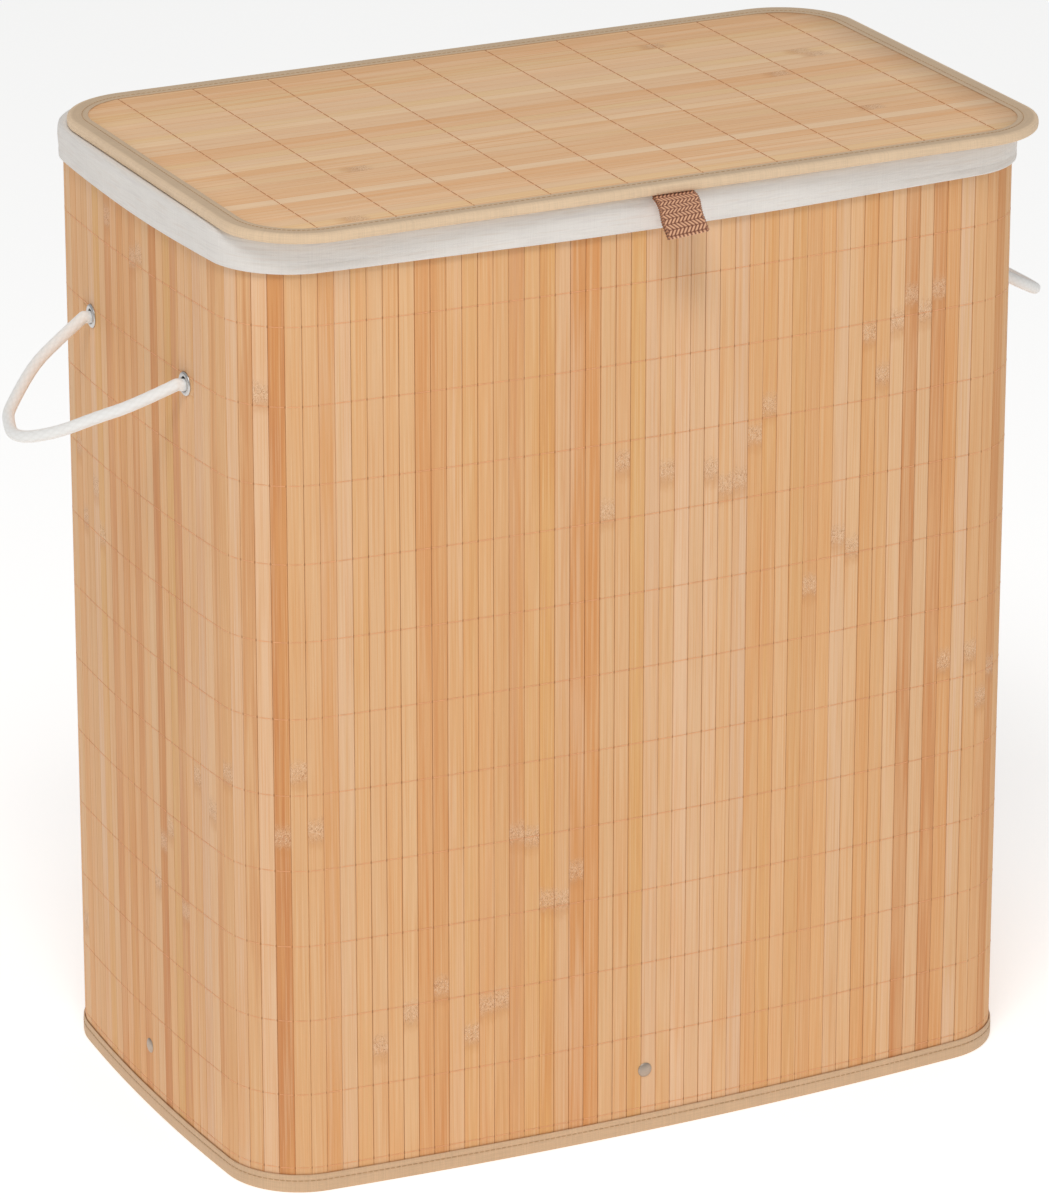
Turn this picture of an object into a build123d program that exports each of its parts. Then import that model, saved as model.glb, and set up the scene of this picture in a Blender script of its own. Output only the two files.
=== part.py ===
from build123d import *
import math
import os

os.makedirs("parts", exist_ok=True)

# Laundry hamper with a flat hinged lid: a mat of upright bamboo slats stitched
# onto a backing cloth and closed into a rounded rectangle, bound with tape at
# both ends, with a steel rim wire, a board in the bottom, a removable cotton
# liner turned out over the rim, two rope handles knotted through eyelets in
# the short sides, and a board lid faced with slats and hinged by a cloth strip.
# Millimetres, +Z up, front towards -Y, the floor at Z = 0, the origin in the
# middle of the bottom board's underside.

# ---- driving dimensions ------------------------------------------------------
BODY_W = 526.0            # outside width at the corners
BODY_D = 312.0            # outside depth at the corners
FRONT_BOW = 14.0          # how far the middle of each wall bows outwards
BACK_BOW = 4.0
SIDE_BOW = 8.0
CORNER_R = 50.0           # plan radius of the corners

SLAT_PITCH = 10.05        # pitch of the slats round the wall
SLAT_W = 9.55
SLAT_T = 1.6
SLAT_Z0 = 1.6
SLAT_Z1 = 611.0
BACKING_T = 1.4

ROW_PITCH = 49.3          # stitched rows round the wall
ROW_TOP = 558.7
ROW_COUNT = 12
THREAD_H = 0.8
THREAD_T = 0.4

BIND_H = 12.0             # height of the edge binding
TAPE_T = 0.8

RIM_WIRE_D = 4.0
RIM_WIRE_OFF = -6.2       # rim wire's centre line, inwards of the wall's face
RIM_WIRE_Z = 609.3

CUFF_Z0 = 592.0           # lower edge of the liner's turned-out cuff
RIM_TOP = 613.6           # top of the cuff where it goes over the rim
CLOTH_T = 0.8
BAG_W = 486.0             # the bag hangs clear of the side walls
BAG_D = 296.0
BAG_R = 44.0
BAG_Z0 = 8.0
BAG_NECK_Z = 545.0

BOARD_T = 4.0
BASE_CLOTH_T = 0.8

EYELET_Y = 72.5           # eyelets, each side of the middle of a short side
EYELET_Z = 503.5
EYELET_BORE = 9.0
EYELET_OD = 15.0
EYELET_BARREL = 11.0
ROPE_D = 7.5
ROPE_DROOP = 30.0         # the handles' slope below level, degrees
KNOT_R = 8.5

RIVET_Z = 42.0
RIVET_CAP = 9.5
RIVET_SHANK = 3.8
FRONT_RIVET_X = -8.0

LID_X = 3.0               # middle of the lid
LID_W = 544.0
LID_Y0 = -179.0           # front edge
LID_Y1 = 147.0            # back edge
LID_R = 52.0
LID_Z0 = 614.4            # underside
LID_TAPE_T = 0.5
LINING_T = 0.6
LID_BOARD_T = 3.0
LID_SLAT_T = 1.4
LID_SLAT_PITCH = 10.1
LID_SLAT_W = 9.6
LID_BIND_W = 13.0
LID_ROW_X0 = -223.0
LID_ROW_PITCH = 50.5
LID_ROW_COUNT = 10

HINGE_Y = 149.5           # fold line of the cloth hinge, along X
HINGE_Z = 614.4
HINGE_W = 400.0
HINGE_T = 0.45
HINGE_LOW = 586.0         # the strip's lower edge on the back wall
HINGE_LID_Y = 131.0       # how far the strip runs in under the lid

TAB_X = 5.0               # webbing pull tab under the lid's front edge
TAB_W = 27.0
TAB_T = 3.2


def write(name, *solids):
    """One file per node, holding each of its solids."""
    flat = []
    for s in solids:
        flat += list(s.solids()) if hasattr(s, "solids") else list(s)
    export_step(flat[0] if len(flat) == 1 else Compound(children=flat), f"parts/{name}.step")
    print(name, len(flat), round(sum(s.volume for s in flat) / 1000, 2), "cm3")


# ---- the wall's plan ---------------------------------------------------------
hw, hd = BODY_W / 2, BODY_D / 2
plan_edges = [
    ThreePointArc((-hw, -hd), (0, -hd - FRONT_BOW), (hw, -hd)),
    ThreePointArc((hw, -hd), (hw + SIDE_BOW, 0), (hw, hd)),
    ThreePointArc((hw, hd), (0, hd + BACK_BOW), (-hw, hd)),
    ThreePointArc((-hw, hd), (-hw - SIDE_BOW, 0), (-hw, -hd)),
]
plan = make_face(plan_edges)
plan = fillet(plan.vertices(), CORNER_R)


plan_arcs = []
for e in plan.faces()[0].outer_wire().edges():
    plan_arcs.append((e.arc_center, e.radius, e @ 0, e @ 0.5, e @ 1))


def outline(off):
    """The wall's plan face, its edge moved outwards by off: every arc keeps its centre."""
    edges = []
    for c, r, a, m, b in plan_arcs:
        k = (r + off) / r
        edges.append(ThreePointArc(c + (a - c) * k, c + (m - c) * k, c + (b - c) * k))
    return make_face(edges)


def ring(off_in, off_out, z0, z1):
    """A band round the wall between two offsets."""
    outer = extrude(Pos(0, 0, z0) * outline(off_out), z1 - z0)
    inner = extrude(Pos(0, 0, z0 - 1) * outline(off_in), z1 - z0 + 2)
    return outer - inner


def plug(off, z0, z1):
    return extrude(Pos(0, 0, z0) * outline(off), z1 - z0)


wall_wire = plan.faces()[0].outer_wire()
wall_length = wall_wire.length


def station(t):
    """Point and outward normal on the wall's outer face, t from 0 to 1."""
    p = wall_wire.position_at(t)
    d = wall_wire.tangent_at(t)
    n = Vector(d.Y, -d.X, 0).normalized()
    if n.dot(Vector(p.X, p.Y, 0)) < 0:
        n = n * -1
    return p, n


def side_point(sign, y):
    """Point and outward normal on a short side's outer face."""
    r = (hd * hd + SIDE_BOW * SIDE_BOW) / (2 * SIDE_BOW)
    cx = hw + SIDE_BOW - r
    n = Vector(sign * math.sqrt(r * r - y * y), y, 0).normalized()
    return Vector(sign * (cx + math.sqrt(r * r - y * y)), y, 0), n


def long_point(sign, x):
    """Point and outward normal on the front (-1) or back (+1) face."""
    bow = FRONT_BOW if sign < 0 else BACK_BOW
    r = (hw * hw + bow * bow) / (2 * bow)
    cy = hd + bow - r
    n = Vector(x, sign * math.sqrt(r * r - x * x), 0).normalized()
    return Vector(x, sign * (cy + math.sqrt(r * r - x * x)), 0), n


def rod(p, n, z, r, depth_out, depth_in):
    """A cylinder along the wall's normal at p, height z."""
    base = Vector(p.X, p.Y, z) - n * depth_in
    return Solid.make_cylinder(r, depth_in + depth_out, Plane(origin=base, z_dir=n))


eyelet_points = {
    "left": [side_point(-1, EYELET_Y), side_point(-1, -EYELET_Y)],
    "right": [side_point(1, EYELET_Y), side_point(1, -EYELET_Y)],
}
rivet_points = [
    long_point(-1, FRONT_RIVET_X),
    side_point(1, 0),
    long_point(1, 0),
    side_point(-1, 0),
]
eyelet_holes = [
    rod(p, n, EYELET_Z, EYELET_BARREL / 2 + 0.1, 6, 12)
    for side in eyelet_points.values() for p, n in side
]
rivet_holes = [rod(p, n, RIVET_Z, RIVET_SHANK / 2 + 0.1, 6, 12) for p, n in rivet_points]


def drill(solid, holes):
    for h in holes:
        hb, sb = h.bounding_box(), solid.bounding_box()
        if (hb.min.X < sb.max.X and hb.max.X > sb.min.X and hb.min.Y < sb.max.Y
                and hb.max.Y > sb.min.Y and hb.min.Z < sb.max.Z and hb.max.Z > sb.min.Z):
            solid = solid - h
    return solid


# ---- wall: slats, stitching, backing cloth -----------------------------------
slat_count = round(wall_length / SLAT_PITCH)
groups = {"front_slats": [], "right_slats": [], "back_slats": [], "left_slats": []}
for i in range(slat_count):
    p, n = station((i + 0.5) / slat_count)
    mid = Vector(p.X, p.Y, (SLAT_Z0 + SLAT_Z1) / 2) - n * (SLAT_T / 2)
    slat = Plane(origin=mid, x_dir=Vector(0, 0, 1).cross(n), z_dir=Vector(0, 0, 1)) * Box(
        SLAT_W, SLAT_T, SLAT_Z1 - SLAT_Z0)
    slat = drill(slat, eyelet_holes + rivet_holes)
    if abs(n.Y) >= abs(n.X):
        groups["front_slats" if n.Y < 0 else "back_slats"].append(slat)
    else:
        groups["right_slats" if n.X > 0 else "left_slats"].append(slat)
print("slats round the wall", slat_count, "wall length", round(wall_length, 1))
for name, slats in groups.items():
    write(name, *slats)

backing_out = -SLAT_T - 0.05
backing_in = backing_out - BACKING_T
backing = ring(backing_in, backing_out, SLAT_Z0, SLAT_Z1)
write("wall_backing", drill(backing, eyelet_holes + rivet_holes))

rows = [ring(0.32, 0.32 + THREAD_T, ROW_TOP - k * ROW_PITCH - THREAD_H / 2,
             ROW_TOP - k * ROW_PITCH + THREAD_H / 2) for k in range(ROW_COUNT)]
clear = [rod(p, n, EYELET_Z, EYELET_OD / 2 + 0.3, 6, 2)
         for side in eyelet_points.values() for p, n in side]
row_parts = []
for row in rows:
    for piece in drill(row, clear).solids():
        row_parts.append(piece)
write("wall_stitching", *row_parts)

# ---- edge bindings and the seam tape at the back -----------------------------
bind_in = backing_in - 0.05
bottom_binding = (
    ring(0.3, 0.3 + TAPE_T + 0.2, 0, BIND_H)
    + ring(bind_in - TAPE_T, bind_in, 0, BIND_H)
    + ring(bind_in - TAPE_T, 0.3 + TAPE_T + 0.2, 0, 1.5)
)
write("bottom_binding", bottom_binding)
top_binding = (
    ring(0.3, 0.3 + TAPE_T, 598.0, SLAT_Z1 + 0.9)
    + ring(bind_in - TAPE_T, bind_in, 598.0, SLAT_Z1 + 0.9)
    + ring(bind_in - TAPE_T, 0.3 + TAPE_T, SLAT_Z1 + 0.1, SLAT_Z1 + 0.9)
)
write("top_binding", top_binding)

seam_y = long_point(1, 0)[0].Y
seam_tape = Pos(0, seam_y - SLAT_T - BACKING_T - 0.1 - 0.35, (14 + 596) / 2) * Box(24, 0.5, 596 - 14)
seam_tape = seam_tape - rod(*rivet_points[2], RIVET_Z, 6.0, 6, 12)
write("back_seam_tape", seam_tape)

# ---- rim wire ----------------------------------------------------------------
rim_path = outline(RIM_WIRE_OFF).faces()[0].outer_wire()
rim_path = Pos(0, 0, RIM_WIRE_Z) * rim_path
start = rim_path @ 0
rim_wire = sweep(Plane(origin=start, z_dir=rim_path % 0) * Circle(RIM_WIRE_D / 2), path=rim_path)
write("rim_wire", rim_wire)

# ---- bottom: cloth, board, riveted tabs --------------------------------------
floor_off = bind_in - TAPE_T - 0.4
base_cloth = plug(floor_off, 0, BASE_CLOTH_T)
write("base_cloth", base_cloth)
base_board = plug(floor_off - 3.0, BASE_CLOTH_T, BASE_CLOTH_T + BOARD_T)
write("base_board", base_board)

tabs, rivets, washers = [], [], []
tab_in = backing_in - 1.25         # clear of the binding's inner skirt
for p, n in rivet_points:
    t = Vector(0, 0, 1).cross(n)
    upright = Plane(origin=Vector(p.X, p.Y, 33.0) + n * (tab_in - 0.5), x_dir=t,
                    z_dir=Vector(0, 0, 1)) * Box(40, 1.0, 42.0)
    foot = Plane(origin=Vector(p.X, p.Y, 5.5) + n * (tab_in - 25.0), x_dir=t,
                 z_dir=Vector(0, 0, 1)) * Box(40, 48.0, 1.0)
    bend = Plane(origin=Vector(p.X, p.Y, 8.5) + n * (tab_in - 0.5), x_dir=t,
                 z_dir=Vector(0, 0, 1)) * Box(40, 1.0, 7.0)
    tab = upright + foot + bend
    tab = tab - rod(p, n, RIVET_Z, RIVET_SHANK / 2 + 0.1, 6, 16)
    tabs.append(tab)
    seat = Vector(p.X, p.Y, RIVET_Z) + n * 0.05
    cap = Solid.make_cylinder(RIVET_CAP / 2, 1.1, Plane(origin=seat, z_dir=n))
    cap = fillet(cap.edges().filter_by(GeomType.CIRCLE).sort_by(
        lambda e: e.center().dot(n))[-1:], 0.8)
    shank = Solid.make_cylinder(RIVET_SHANK / 2, 6.4, Plane(origin=seat - n * 6.3, z_dir=n))
    rivets.append(cap + shank)
    w0 = Vector(p.X, p.Y, RIVET_Z) + n * (tab_in - 1.0 - 0.7)
    washer = Solid.make_cylinder(4.8, 0.6, Plane(origin=w0, z_dir=n)) - Solid.make_cylinder(
        RIVET_SHANK / 2 + 0.05, 2, Plane(origin=w0 - n, z_dir=n))
    washers.append(washer)
write("base_tabs", *tabs)
write("base_rivets", *rivets)
write("base_rivet_washers", *washers)

# ---- cotton liner: cuff, over the rim, neck and bag --------------------------
in_out = RIM_WIRE_OFF - RIM_WIRE_D / 2 - 0.4      # neck cloth, outer face
in_in = in_out - CLOTH_T
cuff_in, cuff_out = 1.9, 1.9 + CLOTH_T
cuff = ring(cuff_in, cuff_out, CUFF_Z0, RIM_TOP)
over = ring(in_in, cuff_out, RIM_TOP - CLOTH_T, RIM_TOP)
neck = ring(in_in, in_out, 597.0, RIM_TOP)


def bag_plan(inset):
    w, d = BAG_W / 2 - inset, BAG_D / 2 - inset
    edges = [
        ThreePointArc((-w, -d), (0, -d - 1.0), (w, -d)),
        ThreePointArc((w, -d), (w + 1.0, 0), (w, d)),
        ThreePointArc((w, d), (0, d + 1.0), (-w, d)),
        ThreePointArc((-w, d), (-w - 1.0, 0), (-w, -d)),
    ]
    f = make_face(edges)
    return fillet(f.vertices(), BAG_R - inset)


def funnel(off, inset, z_top, z_low):
    return loft([Pos(0, 0, z_low) * bag_plan(inset), Pos(0, 0, z_top) * outline(off)], ruled=True)


shoulder = funnel(in_out, 0, 597.0, BAG_NECK_Z) - funnel(in_in, CLOTH_T, 597.0, BAG_NECK_Z)
bag = extrude(Pos(0, 0, BAG_Z0) * bag_plan(0), BAG_NECK_Z - BAG_Z0) - extrude(
    Pos(0, 0, BAG_Z0 + CLOTH_T) * bag_plan(CLOTH_T), BAG_NECK_Z - BAG_Z0)
liner = cuff + over + neck + shoulder + bag
write("cotton_liner", liner)

# ---- rope handles: eyelets, washers, knots, ropes ----------------------------
for side, pts in eyelet_points.items():
    eyes, eye_washers, knots = [], [], []
    for p, n in pts:
        c = Vector(p.X, p.Y, EYELET_Z)
        flange = Solid.make_cylinder(EYELET_OD / 2, 1.0, Plane(origin=c + n * 0.05, z_dir=n))
        flange = fillet(flange.edges().filter_by(GeomType.CIRCLE).sort_by(
            lambda e: e.center().dot(n))[-1:], 0.7)
        barrel = Solid.make_cylinder(EYELET_BARREL / 2, 4.2, Plane(origin=c - n * 4.1, z_dir=n))
        bore = Solid.make_cylinder(EYELET_BORE / 2, 8, Plane(origin=c - n * 5, z_dir=n))
        eyes.append(flange + barrel - bore)
        w0 = c - n * 3.9
        eye_washers.append(
            Solid.make_cylinder(EYELET_OD / 2, 0.6, Plane(origin=w0, z_dir=n))
            - Solid.make_cylinder(EYELET_BARREL / 2 + 0.05, 2, Plane(origin=w0 - n, z_dir=n)))
        ball = Plane(origin=c - n * (4.6 + KNOT_R), z_dir=n) * Sphere(KNOT_R)
        stub = Solid.make_cylinder(ROPE_D / 2, 8.0, Plane(origin=c - n * 7.0, z_dir=n))
        knots.append(ball + stub)
    write(f"{side}_eyelets", *eyes)
    write(f"{side}_eyelet_washers", *eye_washers)
    write(f"{side}_rope_knots", *knots)

# The handle's route in its own plane: outwards from the eyelets' face, and
# along the wall. The right handle is the left one turned half round. Each end
# is a ball on the swing axis, a rope's radius clear of the eyelet's flange, so
# the handle swings up and down without biting into the eyelet.
ROPE_PIVOT = 5.2
ROPE_ROUTE = [(ROPE_PIVOT, 72.5), (34.8, 66.6), (52.4, 58.9), (80.0, 34.8), (86.2, 25.8),
              (94.2, -0.7), (75.4, -27.9), (50.8, -44.3), (32.3, -59.7), (ROPE_PIVOT, -72.0)]
pivot_x = side_point(1, EYELET_Y)[0].X + ROPE_PIVOT


def rope(side):
    s = -1 if side == "left" else 1
    a = math.radians(ROPE_DROOP)
    pts = []
    for u, v in ROPE_ROUTE:
        pts.append(Vector(s * (pivot_x + (u - ROPE_PIVOT) * math.cos(a)), v if s < 0 else -v,
                          EYELET_Z - (u - ROPE_PIVOT) * math.sin(a)))
    runs = [(b - c).length for b, c in zip(pts[1:], pts[:-1])]
    radii = []
    for i in range(1, len(pts) - 1):
        turn = (pts[i] - pts[i - 1]).get_angle(pts[i + 1] - pts[i])
        radii.append(0.45 * min(runs[i - 1], runs[i]) / math.tan(math.radians(turn / 2)))
    path = FilletPolyline(*pts, radius=radii)
    tube = sweep(Plane(origin=pts[0], z_dir=pts[1] - pts[0]) * Circle(ROPE_D / 2), path=path)
    section = math.pi * ROPE_D ** 2 / 4
    print(side, "rope radii", [round(r, 1) for r in radii], "runs", [round(r, 1) for r in runs],
          "length", round(path.length, 1), "volume ratio", round(tube.volume / (section * path.length), 4))
    print(side, "route", [(round(p.X, 2), round(p.Y, 2), round(p.Z, 2)) for p in pts])
    for end, along in ((pts[0], pts[1] - pts[0]), (pts[-1], pts[-2] - pts[-1])):
        tube = tube + Plane(origin=end, z_dir=along) * Sphere(ROPE_D / 2)
    return tube


write("left_rope", rope("left"))
write("right_rope", rope("right"))

# ---- lid ---------------------------------------------------------------------
lid_cy, lid_d = (LID_Y0 + LID_Y1) / 2, LID_Y1 - LID_Y0


def lid_plate(inset, z0, z1):
    return extrude(Pos(LID_X, lid_cy, z0) * RectangleRounded(
        LID_W - 2 * inset, lid_d - 2 * inset, LID_R - inset), z1 - z0)


z = LID_Z0 + LID_TAPE_T + 0.05
lining_z = z
write("lid_lining", lid_plate(1.0, z, z + LINING_T))
z += LINING_T
write("lid_board", lid_plate(1.0, z, z + LID_BOARD_T))
z += LID_BOARD_T
slat_z = z
lid_shape = lid_plate(1.0, slat_z, slat_z + LID_SLAT_T)
lid_slats = []
lid_slat_count = int(lid_d / LID_SLAT_PITCH) + 1
first = lid_cy - (lid_slat_count - 1) * LID_SLAT_PITCH / 2
for i in range(lid_slat_count):
    bar = Pos(LID_X, first + i * LID_SLAT_PITCH, slat_z + LID_SLAT_T / 2) * Box(
        LID_W, LID_SLAT_W, LID_SLAT_T)
    lid_slats += (bar & lid_shape).solids()
write("lid_slats", *lid_slats)
lid_top = slat_z + LID_SLAT_T
write("lid_stitching", *[
    Pos(LID_ROW_X0 + i * LID_ROW_PITCH, lid_cy, lid_top + 0.2) * Box(
        THREAD_H, lid_d - 2 * LID_BIND_W - 4.0, 0.36) for i in range(LID_ROW_COUNT)])
bind_top = lid_top + 0.05 + LID_TAPE_T
lid_binding = lid_plate(0, LID_Z0, bind_top) - lid_plate(0.95, LID_Z0 + LID_TAPE_T, bind_top - LID_TAPE_T)
lid_binding = lid_binding - lid_plate(LID_BIND_W, LID_Z0 - 1, bind_top + 1)
write("lid_binding", lid_binding)
print("lid from", LID_Z0, "to", round(bind_top, 2))

# Webbing pull tab: starts under the front binding, goes out and down.
tab_line = Spline((LID_Y0 + 3.6, LID_Z0 - 1.62), (-184.0, 609.6), (-195.0, 603.0), (-205.0, 594.5))
tab_pts = [tab_line @ (k / 8) for k in range(9)]
tab_tan = [(tab_line % (k / 8)).normalized() for k in range(9)]
up_side, low_side = [], []
for q, d in zip(tab_pts, tab_tan):
    m = Vector(-d.Y, d.X, 0)
    up_side.append(q + m * (-TAB_T / 2))
    low_side.append(q + m * (TAB_T / 2))
prof = Polyline(*[(v.X, v.Y) for v in up_side + low_side[::-1]], close=True)
tab_face = Plane(origin=(TAB_X - TAB_W / 2, 0, 0), x_dir=(0, 1, 0), z_dir=(1, 0, 0)) * make_face(prof)
pull_tab = extrude(tab_face, TAB_W)
write("pull_tab", pull_tab)
bb = pull_tab.bounding_box()
print("tab box", bb)

# ---- cloth hinge: one leaf on the body, one under the lid's back edge ---------
# The body leaf lies over the rim and turns down the back wall.
back_face = long_point(1, 0)[0].Y
leaf_y = back_face + cuff_out + 0.3
leaf_z = RIM_TOP + 0.08
leaf_down = Pos(0, leaf_y + HINGE_T / 2, (HINGE_LOW + leaf_z + HINGE_T) / 2) * Box(
    HINGE_W, HINGE_T, leaf_z + HINGE_T - HINGE_LOW)
leaf_over = Pos(0, (HINGE_Y + 0.7 + leaf_y + HINGE_T) / 2, leaf_z + HINGE_T / 2) * Box(
    HINGE_W, leaf_y + HINGE_T - HINGE_Y - 0.7, HINGE_T)
write("hinge_body_leaf", leaf_down + leaf_over)
leaf_lid = Pos(0, (HINGE_LID_Y + HINGE_Y - 0.6) / 2, LID_Z0 - 0.03 - HINGE_T / 2) * Box(
    HINGE_W, HINGE_Y - 0.6 - HINGE_LID_Y, HINGE_T)
write("hinge_lid_leaf", leaf_lid)
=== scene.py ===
import bpy
import math
import numpy as np
from mathutils import Matrix, Vector


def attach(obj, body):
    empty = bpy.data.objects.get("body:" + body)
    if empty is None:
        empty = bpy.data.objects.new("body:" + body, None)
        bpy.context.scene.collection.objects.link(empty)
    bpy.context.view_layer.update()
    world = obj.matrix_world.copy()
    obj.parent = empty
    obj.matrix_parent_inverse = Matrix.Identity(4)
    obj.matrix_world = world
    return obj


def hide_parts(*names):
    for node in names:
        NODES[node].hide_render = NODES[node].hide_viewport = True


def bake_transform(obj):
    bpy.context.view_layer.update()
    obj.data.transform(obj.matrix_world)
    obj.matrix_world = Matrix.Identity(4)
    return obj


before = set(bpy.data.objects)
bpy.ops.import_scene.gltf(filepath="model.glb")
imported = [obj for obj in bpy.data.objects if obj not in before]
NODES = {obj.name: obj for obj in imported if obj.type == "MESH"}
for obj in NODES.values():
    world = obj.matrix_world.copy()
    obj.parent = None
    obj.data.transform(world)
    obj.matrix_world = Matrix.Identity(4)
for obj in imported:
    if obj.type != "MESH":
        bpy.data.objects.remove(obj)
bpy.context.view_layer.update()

MM = 0.001
EYE_Z = 503.5
rng = np.random.default_rng(41)


def lin(r, g, b):
    """sRGB 0-255 to linear."""
    out = []
    for c in (r, g, b):
        c = c / 255.0
        out.append(c / 12.92 if c <= 0.04045 else ((c + 0.055) / 1.055) ** 2.4)
    return tuple(out) + (1.0,)


# ---- meshes ------------------------------------------------------------------
class Build:
    """Collects grids of points, in millimetres, into one mesh with point attributes."""

    def __init__(self):
        self.v, self.f, self.n, self.a, self.c = [], [], 0, [], []

    def grid(self, P, wrap_u=False, wrap_v=False, flip=False, caps=False, cloth=None, wrap_add=(0.0, 0.0), **attrs):
        """cloth is (m, n, 3), in millimetres. Where a grid wraps, its coordinates run on by wrap_add
        (along u, along v), so a pattern doesn't turn back at the join."""
        P = np.asarray(P, float)
        m, n = P.shape[:2]
        idx = np.arange(m * n).reshape(m, n) + self.n
        if cloth is not None:
            ce = np.array(np.broadcast_to(np.asarray(cloth, float), (m, n, 3)))
            if wrap_u:
                ce = np.concatenate([ce, ce[:1] + np.array([wrap_add[0], 0, 0])], 0)
            if wrap_v:
                ce = np.concatenate([ce, ce[:, :1] + np.array([0, wrap_add[1], 0])], 1)
            ci = np.arange(ce.shape[0] * ce.shape[1]).reshape(ce.shape[:2])
            cq = np.stack([ci[:-1, :-1], ci[1:, :-1], ci[1:, 1:], ci[:-1, 1:]], -1).reshape(-1, 4)
            if flip:
                cq = cq[:, ::-1]
            flat = ce.reshape(-1, 3)
            if caps:
                for e in (0, -1):
                    self.c.append(ce[e][:n] if (e == 0) != flip else ce[e][:n][::-1])
            self.c.append(flat[cq].reshape(-1, 3))
        if caps:                      # rows wrap, ends closed with one face each
            ends = [idx[0], idx[-1][::-1]]
            if flip:
                ends = [e[::-1] for e in ends]
            for e in ends:
                self.f.append(np.array([e]))
        if wrap_u:
            idx = np.concatenate([idx, idx[:1]], 0)
        if wrap_v:
            idx = np.concatenate([idx, idx[:, :1]], 1)
        q = np.stack([idx[:-1, :-1], idx[1:, :-1], idx[1:, 1:], idx[:-1, 1:]], -1).reshape(-1, 4)
        if flip:
            q = q[:, ::-1]
        self.f.append(q)
        self.v.append(P.reshape(-1, 3))
        self.a.append({k: np.broadcast_to(np.asarray(v, float), (m, n) + np.asarray(v).shape[2:]).reshape(
            (m * n,) + np.asarray(v).shape[2:]) if np.ndim(v) >= 2 else np.broadcast_to(
            np.asarray(v, float), (m * n,) + np.shape(v)) for k, v in attrs.items()})
        self.n += m * n
        return self

    def make(self, name, material, smooth=True, sharp_caps=True):
        V = np.concatenate(self.v) * MM
        loops = np.concatenate([q.ravel() for q in self.f]).astype(np.int32)
        sizes = np.concatenate([np.full(len(q), q.shape[1]) for q in self.f])
        starts = np.concatenate([[0], np.cumsum(sizes)[:-1]]).astype(np.int32)
        me = bpy.data.meshes.new(name)
        me.vertices.add(len(V))
        me.vertices.foreach_set("co", V.ravel())
        me.loops.add(len(loops))
        me.loops.foreach_set("vertex_index", loops)
        me.polygons.add(len(sizes))
        me.polygons.foreach_set("loop_start", starts)
        me.update(calc_edges=True)
        smooths = np.full(len(sizes), smooth)
        if sharp_caps:
            smooths[sizes > 4] = False
        me.polygons.foreach_set("use_smooth", smooths)
        if self.c:
            d = np.concatenate(self.c)
            assert len(d) == len(loops), (name, len(d), len(loops))
            at = me.attributes.new("cloth", "FLOAT_VECTOR", "CORNER")
            at.data.foreach_set("vector", d.ravel().astype(np.float32))
        for k in self.a[0]:
            d = np.concatenate([a[k] for a in self.a])
            if d.ndim == 1:
                at = me.attributes.new(k, "FLOAT", "POINT")
                at.data.foreach_set("value", d.astype(np.float32))
            elif d.shape[1] == 3:
                at = me.attributes.new(k, "FLOAT_VECTOR", "POINT")
                at.data.foreach_set("vector", d.ravel().astype(np.float32))
            else:
                at = me.attributes.new(k, "FLOAT_COLOR", "POINT")
                at.data.foreach_set("color", d.ravel().astype(np.float32))
        me.validate()
        o = bpy.data.objects.new(name, me)
        bpy.context.scene.collection.objects.link(o)
        me.materials.append(material)
        return o


def frames(P, up=None, closed=False):
    """Tangents and two normals along a polyline."""
    P = np.asarray(P, float)
    if closed:
        T = np.roll(P, -1, 0) - np.roll(P, 1, 0)
    else:
        T = np.gradient(P, axis=0)
    T /= np.linalg.norm(T, axis=1)[:, None]
    if up is not None:
        A = np.cross(T, up)
        A /= np.linalg.norm(A, axis=1)[:, None]
        return T, A, np.cross(A, T)
    A = np.zeros_like(P)
    a = np.cross(T[0], [0.3, 0.2, 1.0])
    a /= np.linalg.norm(a)
    for i in range(len(P)):
        a = a - T[i] * a.dot(T[i])
        a /= np.linalg.norm(a)
        A[i] = a
    return T, A, np.cross(T, A)


def tube(b, P, r, sides=8, closed=False, round_ends=False, **attrs):
    """A tube along P, r a number or one per point."""
    T, A, B = frames(P, closed=closed, up=attrs.pop("up", None))
    r = np.broadcast_to(np.asarray(r, float), (len(P),))
    th = np.arange(sides) / sides * 2 * math.pi
    ring = (np.cos(th)[None, :, None] * A[:, None, :] + np.sin(th)[None, :, None] * B[:, None, :])
    G = np.asarray(P)[:, None, :] + ring * r[:, None, None]
    b.grid(G, wrap_u=closed, wrap_v=True, caps=not closed, flip=True, **attrs)
    return b


def smooth(x, a, b):
    t = np.clip((np.asarray(x, float) - a) / (b - a), 0, 1)
    return t * t * (3 - 2 * t)


def fbm(x, seed, octaves=3):
    """Smooth one-dimensional noise, about -1 to 1, from a few sines."""
    g = np.random.default_rng(seed)
    y = 0
    for k in range(octaves):
        for _ in range(3):
            y = y + np.sin(np.asarray(x) * (1.9 ** k) * g.uniform(0.7, 1.3) + g.uniform(0, 6.28)) / (1.6 ** k)
    return y / 4.0


# ---- the wall's plan, millimetres --------------------------------------------
HW, HD, CR = 263.0, 156.0, 50.0
FRONT_BOW, BACK_BOW, SIDE_BOW = 14.0, 4.0, 8.0


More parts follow.
